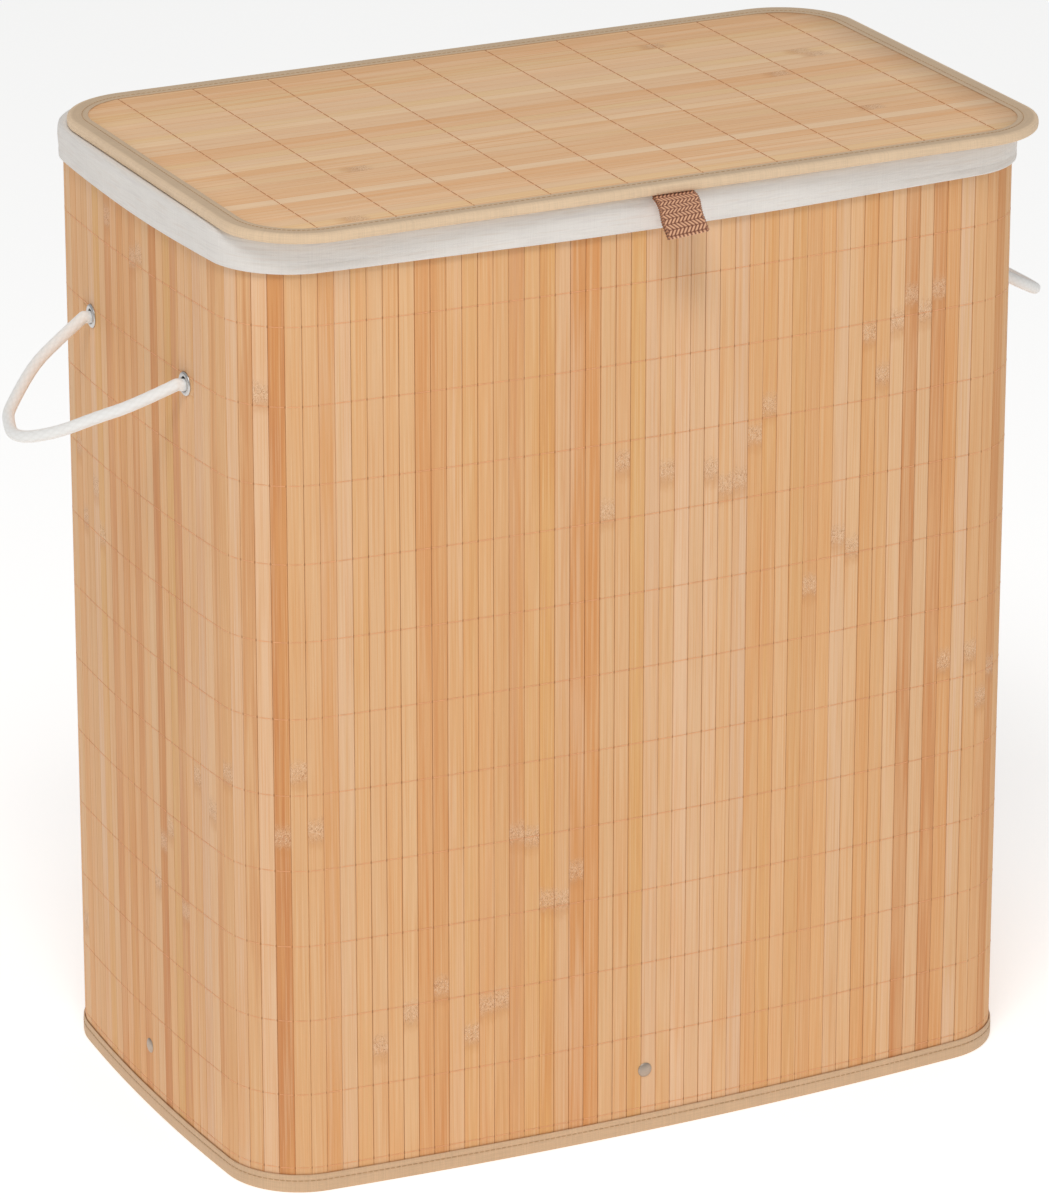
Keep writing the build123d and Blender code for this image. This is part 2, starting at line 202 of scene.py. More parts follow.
def plan_arcs():
    def bow(half, b):
        return (half * half + b * b) / (2 * b)
    rf, rb, rs = bow(HW, FRONT_BOW), bow(HW, BACK_BOW), bow(HD, SIDE_BOW)
    bows = [(np.array([0, -(HD + FRONT_BOW - rf)]), rf, -math.pi / 2),
            (np.array([HW + SIDE_BOW - rs, 0.0]), rs, 0.0),
            (np.array([0, HD + BACK_BOW - rb]), rb, math.pi / 2),
            (np.array([-(HW + SIDE_BOW - rs), 0.0]), rs, math.pi)]
    guess = [(HW - CR, -HD + CR), (HW - CR, HD - CR), (-HW + CR, HD - CR), (-HW + CR, -HD + CR)]
    mids = []
    for i in range(4):
        c1, r1, _ = bows[i]
        c2, r2, _ = bows[(i + 1) % 4]
        a, b = r1 - CR, r2 - CR
        d = np.linalg.norm(c2 - c1)
        ex = (c2 - c1) / d
        x = (a * a - b * b + d * d) / (2 * d)
        h = math.sqrt(max(a * a - x * x, 0))
        ey = np.array([-ex[1], ex[0]])
        mids.append(min((c1 + ex * x + ey * h, c1 + ex * x - ey * h),
                        key=lambda p: np.linalg.norm(p - np.array(guess[i]))))
    arcs = []
    for i in range(4):
        c, r, mid = bows[i]

        def ang(p, c0):
            return math.atan2(p[1] - c0[1], p[0] - c0[0])
        a0, a1 = ang(mids[i - 1], c), ang(mids[i], c)
        a0 += 2 * math.pi * round((mid - a0) / (2 * math.pi))
        a1 += 2 * math.pi * round((mid - a1) / (2 * math.pi))
        arcs.append((c, r, a0, a1))
        b0, b1 = a1, ang(mids[i], bows[(i + 1) % 4][0])
        while b1 < b0:
            b1 += 2 * math.pi
        arcs.append((mids[i], CR, b0, b1))
    return arcs


ARCS = plan_arcs()
ARC_START = np.concatenate([[0], np.cumsum([r * (a1 - a0) for c, r, a0, a1 in ARCS])])
WALL_LEN = float(ARC_START[-1])
ARC_C = np.array([a[0] for a in ARCS])
ARC_R = np.array([a[1] for a in ARCS])
ARC_A = np.array([a[2] for a in ARCS])


def wall(s):
    """Point and outward normal (x, y) on the wall's outer face at distance s, counterclockwise from the
    left end of the front."""
    s = np.asarray(s, float) % WALL_LEN
    k = np.clip(np.searchsorted(ARC_START, s, side="right") - 1, 0, 7)
    th = ARC_A[k] + (s - ARC_START[k]) / ARC_R[k]
    n = np.stack([np.cos(th), np.sin(th)], -1)
    return ARC_C[k] + n * ARC_R[k][..., None], n


def on_wall(s, off, z):
    """Points in space at distance s, offset outwards by off, height z."""
    s, off, z = np.broadcast_arrays(np.asarray(s, float), np.asarray(off, float), np.asarray(z, float))
    p, n = wall(s)
    p = p + n * off[..., None]
    return np.concatenate([p, z[..., None]], -1)


SLATS = 161
PITCH = WALL_LEN / SLATS


def s_of(x, y):
    """Distance round the wall nearest to a plan point."""
    ss = np.linspace(0, WALL_LEN, 16001)
    p, _ = wall(ss)
    return float(ss[np.argmin((p[:, 0] - x) ** 2 + (p[:, 1] - y) ** 2)])


# ---- materials ---------------------------------------------------------------
class Mat:
    def __init__(self, name):
        self.m = bpy.data.materials.new(name)
        self.m.use_nodes = True
        self.t = self.m.node_tree
        self.t.nodes.clear()
        self.out = self.add("ShaderNodeOutputMaterial")
        self.b = self.add("ShaderNodeBsdfPrincipled")
        self.t.links.new(self.b.outputs[0], self.out.inputs[0])

    def add(self, kind):
        return self.t.nodes.new(kind)

    def put(self, sock, val):
        if isinstance(val, bpy.types.NodeSocket):
            self.t.links.new(val, sock)
        else:
            sock.default_value = val

    def attr(self, name, out="Vector"):
        n = self.add("ShaderNodeAttribute")
        n.attribute_name = name
        return n.outputs[out]

    def math(self, op, a, b=0.0, c=0.0, clamp=False):
        n = self.add("ShaderNodeMath")
        n.operation = op
        n.use_clamp = clamp
        for s, v in zip(n.inputs, (a, b, c)):
            self.put(s, v)
        return n.outputs[0]

    def scale(self, v, k):
        n = self.add("ShaderNodeVectorMath")
        n.operation = "MULTIPLY"
        self.put(n.inputs[0], v)
        n.inputs[1].default_value = k
        return n.outputs[0]

    def split(self, v):
        n = self.add("ShaderNodeSeparateXYZ")
        self.put(n.inputs[0], v)
        return n.outputs

    def join(self, x, y, z):
        n = self.add("ShaderNodeCombineXYZ")
        for s, v in zip(n.inputs, (x, y, z)):
            self.put(s, v)
        return n.outputs[0]

    def noise(self, v, scale=1.0, detail=2.0, rough=0.5, dist=0.0):
        n = self.add("ShaderNodeTexNoise")
        self.put(n.inputs["Vector"], v)
        n.inputs["Scale"].default_value = scale
        n.inputs["Detail"].default_value = detail
        n.inputs["Roughness"].default_value = rough
        n.inputs["Distortion"].default_value = dist
        return n.outputs[0]

    def cells(self, v, scale=1.0):
        n = self.add("ShaderNodeTexVoronoi")
        self.put(n.inputs["Vector"], v)
        n.inputs["Scale"].default_value = scale
        return n.outputs["Distance"]

    def span(self, v, a, b, c=0.0, d=1.0, kind="SMOOTHSTEP"):
        n = self.add("ShaderNodeMapRange")
        n.interpolation_type = kind
        self.put(n.inputs["Value"], v)
        n.inputs["From Min"].default_value = a
        n.inputs["From Max"].default_value = b
        n.inputs["To Min"].default_value = c
        n.inputs["To Max"].default_value = d
        return n.outputs[0]

    def mix(self, f, a, b, mode="MIX"):
        n = self.add("ShaderNodeMix")
        n.data_type = "RGBA"
        n.blend_type = mode
        self.put(n.inputs[0], f)
        self.put(n.inputs[6], a)
        self.put(n.inputs[7], b)
        return n.outputs[2]

    def bump(self, h, dist, strength=1.0, normal=None):
        n = self.add("ShaderNodeBump")
        n.inputs["Strength"].default_value = strength
        n.inputs["Distance"].default_value = dist
        self.put(n.inputs["Height"], h)
        if normal is not None:
            self.put(n.inputs["Normal"], normal)
        return n.outputs[0]

    def set(self, color=None, rough=None, normal=None, **const):
        if color is not None:
            self.put(self.b.inputs["Base Color"], color)
        if rough is not None:
            self.put(self.b.inputs["Roughness"], rough)
        if normal is not None:
            self.put(self.b.inputs["Normal"], normal)
        for k, v in const.items():
            self.b.inputs[k.replace("_", " ")].default_value = v
        return self.m


def bamboo_material(name, rows=True, gap=(0.20, 0.55)):
    """Flat bamboo slats: a tone per slat that drifts along it, long grain, mottled nodes, painted shade along the long
    edges and at the needle holes.
    """
    m = Mat(name)
    g = m.attr("grain")                      # across, along, slat number x 13
    tone, tone2 = m.attr("tone", "Color"), m.attr("tone2", "Color")
    nd = m.attr("node", "Fac")
    edge = m.attr("edge", "Fac")             # millimetres in from the slat's edge
    fine = m.noise(m.scale(g, (3.6, 0.035, 1.0)), 1.0, 3.0, 0.6)
    mid = m.noise(m.scale(g, (1.1, 0.010, 1.0)), 1.0, 2.0, 0.55)
    wide = m.noise(m.scale(g, (0.34, 0.007, 1.0)), 1.0, 2.0, 0.5)
    slow = m.noise(m.scale(g, (0.05, 0.009, 1.0)), 1.0, 2.0, 0.5)
    dash = m.noise(m.scale(g, (7.5, 0.22, 1.0)), 1.0, 1.0, 0.5)
    c = m.mix(m.span(m.math("ADD", m.math("MULTIPLY", wide, 0.62), m.math("MULTIPLY", slow, 0.38)), 0.42, 0.60), tone, tone2)
    streak = m.span(mid, 0.50, 0.68)
    c = m.mix(m.math("MULTIPLY", streak, 0.42), c, m.mix(1.0, c, lin(244, 216, 180), "MULTIPLY"))
    pale = m.span(mid, 0.46, 0.34)
    c = m.mix(m.math("MULTIPLY", pale, 0.26), c, lin(240, 205, 164))
    v = m.span(fine, 0.28, 0.72, 0.962, 1.032, "LINEAR")
    v = m.math("SUBTRACT", v, m.math("MULTIPLY", m.span(dash, 0.60, 0.78), 0.05))
    # the node: pale curled flecks over a browner band
    warp = m.noise(m.scale(g, (0.42, 0.20, 1.0)), 1.0, 2.0, 0.6)
    d0 = m.math("ADD", nd, m.math("MULTIPLY", m.math("SUBTRACT", warp, 0.5), 9.0))
    patch = m.math("MULTIPLY", m.span(d0, -8.0, -1.5), m.span(d0, 12.0, 3.0))
    band = m.math("MULTIPLY", m.span(d0, -14.0, -6.0), m.span(d0, 1.0, -6.0))
    curl = m.noise(m.scale(g, (0.85, 0.50, 1.0)), 1.0, 3.0, 0.7, 1.6)
    fleck = m.span(m.math("ABSOLUTE", m.math("SUBTRACT", curl, 0.5)), 0.055, 0.015)
    dark = m.span(m.math("ABSOLUTE", m.math("SUBTRACT", curl, 0.42)), 0.050, 0.015)
    c = m.mix(m.math("MULTIPLY", patch, 0.36), c, lin(206, 150, 108))
    c = m.mix(m.math("MULTIPLY", m.math("MULTIPLY", patch, dark), 0.70), c, lin(170, 108, 66))
    c = m.mix(m.math("MULTIPLY", m.math("MULTIPLY", patch, fleck), 0.62), c, lin(250, 222, 186))
    c = m.mix(m.math("MULTIPLY", band, 0.30), c, lin(202, 138, 82))
    # long edges painted a little darker and warmer: painted shade of the gaps between slats
    e = m.span(m.math("ADD", edge, m.math("MULTIPLY", m.math("SUBTRACT", fine, 0.5), 0.25)), gap[1], gap[0] * 0.3)
    c = m.mix(m.math("MULTIPLY", e, 0.38), c, lin(186, 122, 70))
    if rows:
        # needle holes, where a stitched row passes down between two slats, painted as dark spots of shade
        _, al, _ = m.split(g)
        q = m.math("DIVIDE", m.math("SUBTRACT", al, ROW_TOP), ROW_PITCH)
        dz = m.math("MULTIPLY", m.math("SUBTRACT", q, m.math("ROUND", q)), ROW_PITCH)
        dd = m.math("SQRT", m.math("ADD", m.math("POWER", m.math("ABSOLUTE", m.math("DIVIDE", dz, 1.05)), 2.0),
                                   m.math("POWER", m.math("ABSOLUTE", m.math("DIVIDE", edge, 0.75)), 2.0)))
        c = m.mix(m.math("MULTIPLY", m.span(dd, 1.1, 0.6), 0.50), c, lin(172, 110, 62))
    c = m.mix(1.0, c, m.join(v, m.math("POWER", v, 1.10), m.math("POWER", v, 1.25)), "MULTIPLY")
    h = m.math("ADD", m.math("MULTIPLY", fine, 0.6), m.math("MULTIPLY", dash, 0.4))
    r = m.span(fine, 0.2, 0.8, 0.50, 0.66, "LINEAR")
    return m.set(c, r, m.bump(h, 0.00010, 0.5), Specular_IOR_Level=0.30)


def weave_material(name, color, dark, pitch=0.9, ribs=False, depth=0.00015, rough=0.88, sheen=0.25, slub=0.10,
                   wrinkle=0.0, shade=None):
    """Plain woven cloth from the sheet's own millimetre coordinates (attribute cloth)."""
    m = Mat(name)
    g = m.attr("cloth")
    x, y, _ = m.split(g)
    k = 2 * math.pi / pitch
    wob = m.math("MULTIPLY", m.noise(m.scale(g, (0.08, 0.08, 1.0)), 1.0, 2.0), 3.0)
    sx = m.math("SINE", m.math("ADD", m.math("MULTIPLY", x, k), wob))
    sy = m.math("SINE", m.math("ADD", m.math("MULTIPLY", y, k * (0.6 if ribs else 1.0)), wob))
    prod = m.math("MULTIPLY", sx, sy)
    h = m.math("ADD", m.math("MULTIPLY", prod, 0.5), 0.5)
    warp = m.noise(m.scale(g, (1.6, 0.035, 1.0)), 1.0, 2.0, 0.6)
    weft = m.noise(m.scale(g, (0.035, 1.6, 1.0)), 1.0, 2.0, 0.6)
    thread = m.math("ADD", warp, weft)
    soft = m.noise(m.scale(g, (0.02, 0.02, 1.0)), 1.0, 2.0)
    # painted shade: where the weave is low, the colour goes towards dark
    c = m.mix(m.math("MULTIPLY", m.math("SUBTRACT", 1.0, h), 0.55), color, dark)
    v = m.math("ADD", m.span(thread, 0.7, 1.3, 1.0 - slub, 1.0 + slub * 0.6, "LINEAR"),
               m.span(soft, 0.3, 0.7, -0.02, 0.02, "LINEAR"))
    c = m.mix(1.0, c, m.join(v, v, v), "MULTIPLY")
    # painted shade: a band of the profile, between a0-a1 and b0-b1 along y, multiplied by low
    if shade:
        a0, a1, b0, b1, low = shade
        z = m.math("MULTIPLY", m.span(y, a0, a1), m.span(y, b1, b0))
        c = m.mix(z, c, m.mix(1.0, c, low, "MULTIPLY"))
    hh = m.math("ADD", h, m.math("MULTIPLY", thread, 0.6))
    soft_n = None
    if wrinkle:
        w1 = m.noise(m.scale(g, (0.13, 0.022, 1.0)), 1.0, 3.0, 0.6)
        w2 = m.noise(m.scale(g, (0.5, 0.03, 1.0)), 1.0, 2.0, 0.5)
        c = m.mix(m.math("MULTIPLY", m.span(w2, 0.52, 0.70), 0.5), c, m.mix(1.0, c, lin(243, 241, 242), "MULTIPLY"))
        c = m.mix(m.math("MULTIPLY", m.span(w2, 0.46, 0.32), 0.5), c, m.mix(1.0, c, lin(246, 240, 236), "MULTIPLY"))
        soft_n = m.bump(w1, wrinkle, 0.7)
    return m.set(c, rough, m.bump(hh, depth, 0.8, soft_n), Sheen_Weight=sheen, Sheen_Roughness=0.6,
                 Specular_IOR_Level=0.2)


def yarn_material(name, color, dark, rough=0.75, sheen=0.2, twist=0.55):
    """Spun thread: fine twist lines across its length (attribute cloth: along, round)."""
    m = Mat(name)
    g = m.attr("cloth")
    x, y, _ = m.split(g)
    s = m.math("SINE", m.math("MULTIPLY", m.math("ADD", x, m.math("MULTIPLY", y, 0.8)), 2 * math.pi / twist))
    h = m.math("ADD", m.math("MULTIPLY", s, 0.5), 0.5)
    n = m.noise(m.scale(g, (0.35, 0.35, 1.0)), 1.0, 2.0)
    # painted shade: the low parts of the twist take the dark colour
    c = m.mix(m.math("MULTIPLY", m.math("SUBTRACT", 1.0, h), 0.5), color, dark)
    v = m.span(n, 0.3, 0.7, 0.9, 1.08, "LINEAR")
    c = m.mix(1.0, c, m.join(v, v, v), "MULTIPLY")
    return m.set(c, rough, m.bump(h, 0.00008, 0.6), Sheen_Weight=sheen, Specular_IOR_Level=0.25)


def metal_material(name, color, rough=0.34):
    m = Mat(name)
    tc = m.add("ShaderNodeTexCoord").outputs["Object"]
    n1 = m.noise(tc, 900.0, 3.0, 0.6)
    n2 = m.noise(tc, 130.0, 2.0, 0.5)
    v = m.span(n2, 0.3, 0.7, 0.88, 1.06, "LINEAR")
    c = m.mix(1.0, color, m.join(v, v, v), "MULTIPLY")
    r = m.span(n1, 0.25, 0.75, rough - 0.07, rough + 0.12, "LINEAR")
    return m.set(c, r, m.bump(n1, 0.00002, 0.4), Metallic=1.0)


ROW_TOP, ROW_PITCH = 558.7, 49.3
BAMBOO = bamboo_material("bamboo")
# gap sets how far in from each long edge the painted gap shade reaches
LID_BAMBOO = bamboo_material("bamboo_lid", rows=False, gap=(0.05, 0.28))
# each cloth's second colour is the painted shade in the low places of its weave
TAPE = weave_material("binding_tape", lin(227, 193, 156), lin(197, 161, 125), pitch=0.8, ribs=True,
                      depth=0.00016, sheen=0.15)
# each thread's second colour is the painted shade in its twist
THREAD = yarn_material("thread", lin(246, 184, 135), lin(229, 162, 112))
STITCH = yarn_material("tape_stitch", lin(206, 168, 124), lin(156, 116, 78))
LINEN = weave_material("liner_cotton", lin(242, 237, 231), lin(218, 212, 205), pitch=0.72, depth=0.00012,
                       sheen=0.2, slub=0.045, wrinkle=0.0011)
LINING = weave_material("lid_lining", lin(221, 214, 202), lin(184, 176, 162), pitch=0.8, sheen=0.2, slub=0.07)
BACKING = weave_material("backing_cloth", lin(172, 122, 78), lin(120, 80, 46), pitch=1.2, sheen=0.05)
HINGE = weave_material("hinge_cloth", lin(208, 178, 138), lin(160, 128, 92), pitch=1.0, ribs=True, sheen=0.1)
ROPE = None
STEEL = metal_material("rivet_metal", (0.50, 0.42, 0.35, 1.0), 0.46)
NICKEL = metal_material("eyelet_metal", (0.62, 0.61, 0.60, 1.0), 0.30)
WIRE = metal_material("steel_wire", (0.55, 0.55, 0.56, 1.0), 0.34)


def fibreboard_material():
    m = Mat("fibreboard")
    tc = m.add("ShaderNodeTexCoord").outputs["Object"]
    n1 = m.noise(tc, 260.0, 5.0, 0.7)
    n2 = m.noise(tc, 1500.0, 2.0, 0.6)
    c = m.mix(m.span(n1, 0.35, 0.65), lin(176, 138, 96), lin(150, 112, 72))
    c = m.mix(m.math("MULTIPLY", m.span(n2, 0.55, 0.7), 0.4), c, lin(112, 82, 52))
    return m.set(c, 0.82, m.bump(n1, 0.0002, 0.5))


BOARD = fibreboard_material()


def rope_material():
    m = Mat("rope_cotton")
    g = m.attr("cloth")
    groove = m.attr("groove", "Fac")
    fib = m.noise(m.scale(g, (2.2, 5.0, 1.0)), 1.0, 3.0, 0.6)
    # painted shade: the braid's hollows (groove near 0) take the darker white, its ridges the lighter
    c = m.mix(groove, lin(239, 237, 233), lin(247, 246, 243))
    v = m.span(fib, 0.3, 0.7, 0.96, 1.03, "LINEAR")
    c = m.mix(1.0, c, m.join(v, v, v), "MULTIPLY")
    return m.set(c, 0.9, m.bump(fib, 0.0001, 0.6), Sheen_Weight=0.35, Sheen_Roughness=0.7,
                 Specular_IOR_Level=0.2)


ROPE = rope_material()


def webbing_material():
    m = Mat("webbing")
    g = m.attr("cloth")
    tone = m.attr("tone", "Color")
    fib = m.noise(m.scale(g, (2.0, 2.0, 1.0)), 1.0, 3.0, 0.6)
    v = m.span(fib, 0.3, 0.7, 0.86, 1.10, "LINEAR")
    c = m.mix(1.0, tone, m.join(v, v, v), "MULTIPLY")
    return m.set(c, 0.72, m.bump(fib, 0.00010, 0.5), Sheen_Weight=0.25, Sheen_Roughness=0.5,
                 Specular_IOR_Level=0.35)


WEBBING = webbing_material()

# ---- bamboo slats ------------------------------------------------------------
TONES = [lin(233, 190, 147), lin(231, 181, 131), lin(228, 172, 118), lin(221, 157, 99),
         lin(234, 194, 158), lin(229, 177, 124), lin(210, 144, 92), lin(232, 187, 142), lin(228, 178, 118)]
TONES = [tuple(np.array(t) * np.array([0.985, 0.965, 0.93, 1.0])) for t in TONES]
TONE_P = [0.14, 0.15, 0.15, 0.12, 0.10, 0.11, 0.06, 0.07, 0.10]
LID_TONES = [lin(237, 197, 157), lin(233, 189, 145), lin(240, 205, 167), lin(231, 181, 133),
             lin(238, 200, 152), lin(233, 174, 122)]
LID_TONES = [tuple(np.array(t) * np.array([1.06, 1.06, 1.05, 1.0])) for t in LID_TONES]
LID_TONE_P = [0.25, 0.2, 0.23, 0.12, 0.12, 0.08]


def pick(tones, p, k):
    """Two tones drawn at random and mixed, so no two slats are quite alike."""
    a, b = np.array(tones[rng.choice(len(tones), p=p)]), np.array(tones[rng.choice(len(tones), p=p)])
    w = rng.uniform(0, 0.35)
    c = a * (1 - w) + b * w
    c[:3] *= rng.uniform(0.97, 1.03)
    return c


SLAT_W, SLAT_T = 9.88, 1.6
# across the slat: position as a share of half its width, and depth below the face
FACE = [(-1.0, 1.6), (-1.0, 0.30), (-0.988, 0.13), (-0.955, 0.05), (-0.86, 0.022), (-0.5, 0.008), (0.0, 0.0),
        (0.5, 0.008), (0.86, 0.022), (0.955, 0.05), (0.988, 0.13), (1.0, 0.30), (1.0, 1.6)]
FX = np.array([f[0] for f in FACE])
FD = np.array([f[1] for f in FACE])
z_rows = np.concatenate([[1.6], np.linspace(14, 598, 24), [611.0]])
sides = {"front_slats": [], "right_slats": [], "back_slats": [], "left_slats": []}
for i in range(SLATS):
    p, n = wall((i + 0.5) * PITCH)
    if abs(n[1]) >= abs(n[0]):
        sides["front_slats" if n[1] < 0 else "back_slats"].append(i)
    else:
        sides["right_slats" if n[0] > 0 else "left_slats"].append(i)
HOLES = [(s_of(sx * 269.28, sy * 72.5), EYE_Z, 5.5) for sx in (-1, 1) for sy in (-1, 1)]


def slat(b, i, zs, lo, hi, wide, drift, lift, attrs):
    """One length of a slat, between lo and hi (shares of its half width)."""
    p, n = wall((i + 0.5) * PITCH)
    t = np.array([-n[1], n[0]])
    keep = np.concatenate([[lo], FX[(FX > lo + 0.01) & (FX < hi - 0.01)], [hi]])
    fd = np.interp(keep, FX[1:-1], FD[1:-1])
    keep = np.concatenate([[lo], keep, [hi]])
    fd = np.concatenate([[SLAT_T], fd, [SLAT_T]])
    across = keep[None, :] * wide[:, None] + drift[:, None]
    depth = np.where(fd[None, :] >= SLAT_T, -SLAT_T, -fd[None, :] + lift) * np.ones_like(across)
    G = np.empty(across.shape + (3,))
    G[..., 0] = p[0] + t[0] * across + n[0] * depth
    G[..., 1] = p[1] + t[1] * across + n[1] * depth
    G[..., 2] = zs[:, None]
    nz, tone, tone2, tight = attrs
    b.grid(G, wrap_v=True, caps=True,
           grain=np.stack([across, np.broadcast_to(zs[:, None], across.shape), np.full(across.shape, i * 13.37)], -1),
           tone=tone, tone2=tone2, node=np.broadcast_to(zs[:, None] - nz, across.shape) + 0.0,
           edge=(1 - np.abs(keep))[None, :] * wide[:, None] + tight)


for name, idx in sides.items():
    b = Build()
    for i in idx:
        half = SLAT_W / 2
        drift = fbm(z_rows / 95.0, 1000 + i, 2) * 0.03
        wide = half + fbm(z_rows / 140.0, 3000 + i, 2) * 0.03 + rng.uniform(-0.03, 0.07)
        lift = rng.uniform(-0.06, 0.0)
        if i % 6 == 0 or i == idx[0]:
            joint = rng.uniform(30, 590)
        nz = joint + rng.uniform(-32, 32) if rng.random() < 0.62 else 2000.0
        # tight is added to edge, so a larger value leaves less painted edge shade on this slat
        tight = rng.choice([0.0, 0.08, 0.25, 0.45], p=[0.35, 0.25, 0.2, 0.2])
        tone = pick(TONES, TONE_P, i)
        tone2 = pick(TONES, TONE_P, i) * 0.55 + tone * 0.45
        attrs = (nz, tone, tone2, tight)
        centre = (i + 0.5) * PITCH
        hit = [h for h in HOLES if abs(h[0] - centre) < half + h[2] - 0.4]
        if not hit:
            slat(b, i, z_rows, -1.0, 1.0, wide, drift, lift, attrs)
            continue
        # the slat stops inside the eyelet's barrel and starts again above it
        hs, hz, hr = hit[0]
        lo_z, hi_z = hz - 4.9, hz + 4.9
        a_ = np.concatenate([z_rows[z_rows < lo_z - 1], [lo_z]])
        c_ = np.concatenate([[hi_z], z_rows[z_rows > hi_z + 1]])
        flat_w = np.full(40, half)
        slat(b, i, a_, -1.0, 1.0, flat_w[:len(a_)], a_ * 0, lift, attrs)
        slat(b, i, c_, -1.0, 1.0, flat_w[:len(c_)], c_ * 0, lift, attrs)
        left, right = (hs - hr + 0.2 - centre) / half, (hs + hr - 0.2 - centre) / half
        m_ = np.array([lo_z, hi_z])
        if left > -0.97:
            slat(b, i, m_, -1.0, left, flat_w[:2], m_ * 0, lift, attrs)
        if right < 0.97:
            slat(b, i, m_, right, 1.0, flat_w[:2], m_ * 0, lift, attrs)
    o = b.make(name.replace("_slats", "_bamboo"), BAMBOO)
    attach(o, "body")
    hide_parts(name)

# ---- wall stitching ----------------------------------------------------------
ROWS = [ROW_TOP - ROW_PITCH * k for k in range(12)]
EYES = [s_of(sx * 269.28, sy * 72.5) for sx in (-1, 1) for sy in (-1, 1)]
b = Build()
fr = np.array([0.0, 0.035, 0.10, 0.3, 0.5, 0.7, 0.90, 0.965])
hh = np.array([-0.70, -0.30, 0.00, 0.03, 0.04, 0.03, 0.00, -0.30])
for k, z in enumerate(ROWS):
    s = (np.arange(SLATS)[:, None] + fr[None, :]).ravel() * PITCH
    h = np.tile(hh, SLATS) + 0.0
    wander = fbm(s / 60.0, 50 + k, 2) * 0.22
    if abs(z - EYE_Z) < 8:
        for e in EYES:
            near = np.abs((s - e + WALL_LEN / 2) % WALL_LEN - WALL_LEN / 2)
            h = np.where(near < 4.6, -1.2, h)
    P = on_wall(s, h, z + wander)
    dist = np.stack([np.broadcast_to(s[:, None], (len(s), 6)), np.broadcast_to(
        np.arange(6)[None, :] * 0.37, (len(s), 6)), np.full((len(s), 6), k * 3.1)], -1)
    tube(b, P, 0.23, 6, closed=True, up=np.array([0, 0, 1.0]), cloth=dist, wrap_add=(WALL_LEN, 2.2))
o = b.make("wall_thread", THREAD)
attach(o, "body"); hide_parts("wall_stitching")


BACK_S = s_of(0.0, 160.0)


# ---- a profile swept round the wall, and round the lid ------------------------
def profile_len(prof):
    d = np.linalg.norm(np.diff(np.vstack([prof, prof[:1]]), axis=0), axis=1)
    return np.concatenate([[0], np.cumsum(d)])


def wall_band(prof, name, material, count=644, wave=None):
    """prof: closed loop of (offset, z), going up the outer side first."""
    prof = np.array(prof, float)
    s = np.arange(count) / count * WALL_LEN + BACK_S
    off = np.broadcast_to(prof[None, :, 0], (count, len(prof))) + 0.0
    z = np.broadcast_to(prof[None, :, 1], (count, len(prof))) + 0.0
    if wave is not None:
        off, z = wave(s[:, None], off, z)
    G = on_wall(s[:, None], off, z)
    L = profile_len(prof)[:-1]
    cloth = np.stack([np.broadcast_to(s[:, None], off.shape), np.broadcast_to(L[None, :], off.shape),
                      np.zeros(off.shape)], -1)
    b = Build()
    b.grid(G, wrap_u=True, wrap_v=True, cloth=cloth, wrap_add=(WALL_LEN, float(profile_len(prof)[-1])))
    return b.make(name, material)


def dashes(b, path, s_len, stitch, gap, r, dip, sides=6):
    """Rows of separate stitches along path(s) -> (points, outward normals)."""
    n = int(s_len / (stitch + gap))
    step = s_len / n
    q = np.array([0.0, 0.06, 0.2, 0.5, 0.8, 0.94, 1.0])
    hgt = np.array([-dip, -0.1 * dip, 0.55 * r, 0.75 * r, 0.55 * r, -0.1 * dip, -dip])
    for i in range(n):
        ss = i * step + q * (step - gap)
        P, N = path(ss)
        tube(b, P + N * hgt[:, None], r, sides, cloth=np.stack(
            [np.broadcast_to(ss[:, None], (7, sides)), np.broadcast_to(np.arange(sides)[None] * 0.3, (7, sides)),
             np.zeros((7, sides))], -1))


def soft_tape(s, off, z):
    out = off > 0.9
    return off + np.where(out, fbm(s / 33.0, 7, 2) * 0.10, 0), z + np.where(z > 11, fbm(s / 47.0, 9, 2) * 0.18, 0)


bottom_prof = [(-3.6, 0.05), (-1.5, 0.0), (0.2, 0.05), (0.85, 0.25), (1.18, 0.8), (1.34, 1.8), (1.42, 3.4),
               (1.42, 5.4), (1.34, 7.0), (1.12, 7.75), (1.02, 8.1), (1.12, 8.45), (1.30, 9.1), (1.32, 10.6),
               (1.22, 11.5), (0.95, 11.95), (0.55, 12.0), (0.32, 11.7), (0.30, 9.0), (0.30, 1.7), (-1.5, 1.55),
               (-3.1, 1.7), (-3.1, 9.0), (-3.12, 11.7), (-3.35, 12.0), (-3.7, 11.9), (-3.9, 11.5), (-3.95, 8.0),
               (-3.95, 1.2), (-3.85, 0.4)]
o = wall_band(bottom_prof, "bottom_tape", TAPE, wave=soft_tape)
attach(o, "body"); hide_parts("bottom_binding")
bottom_tape = o
b = Build()


def low_path(ss):
    P = on_wall(ss, 1.04, 8.1)
    _, n = wall(ss)
    return P, np.concatenate([n, np.zeros((len(n), 1))], -1)


dashes(b, low_path, WALL_LEN, 3.0, 0.7, 0.27, 0.35)
o = b.make("bottom_tape_stitches", STITCH)
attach(o, "body")

top_prof = [(0.32, 598.0), (0.9, 598.1), (1.15, 599.0), (1.15, 606.0), (1.12, 610.8), (0.8, 611.8), (0.2, 612.0),
            (-3.2, 612.0), (-3.75, 611.7), (-3.95, 611.0), (-3.95, 600.0), (-3.8, 598.2), (-3.35, 598.0),
            (-3.12, 598.5), (-3.12, 605.0), (-3.1, 611.1), (0.28, 611.1), (0.30, 605.0)]
o = wall_band(top_prof, "top_tape", TAPE, count=322)
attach(o, "body"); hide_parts("top_binding")
top_tape = o

# ---- the lid -----------------------------------------------------------------
LX, LY, LW, LD, LR = 3.0, -16.0, 544.0, 326.0, 52.0


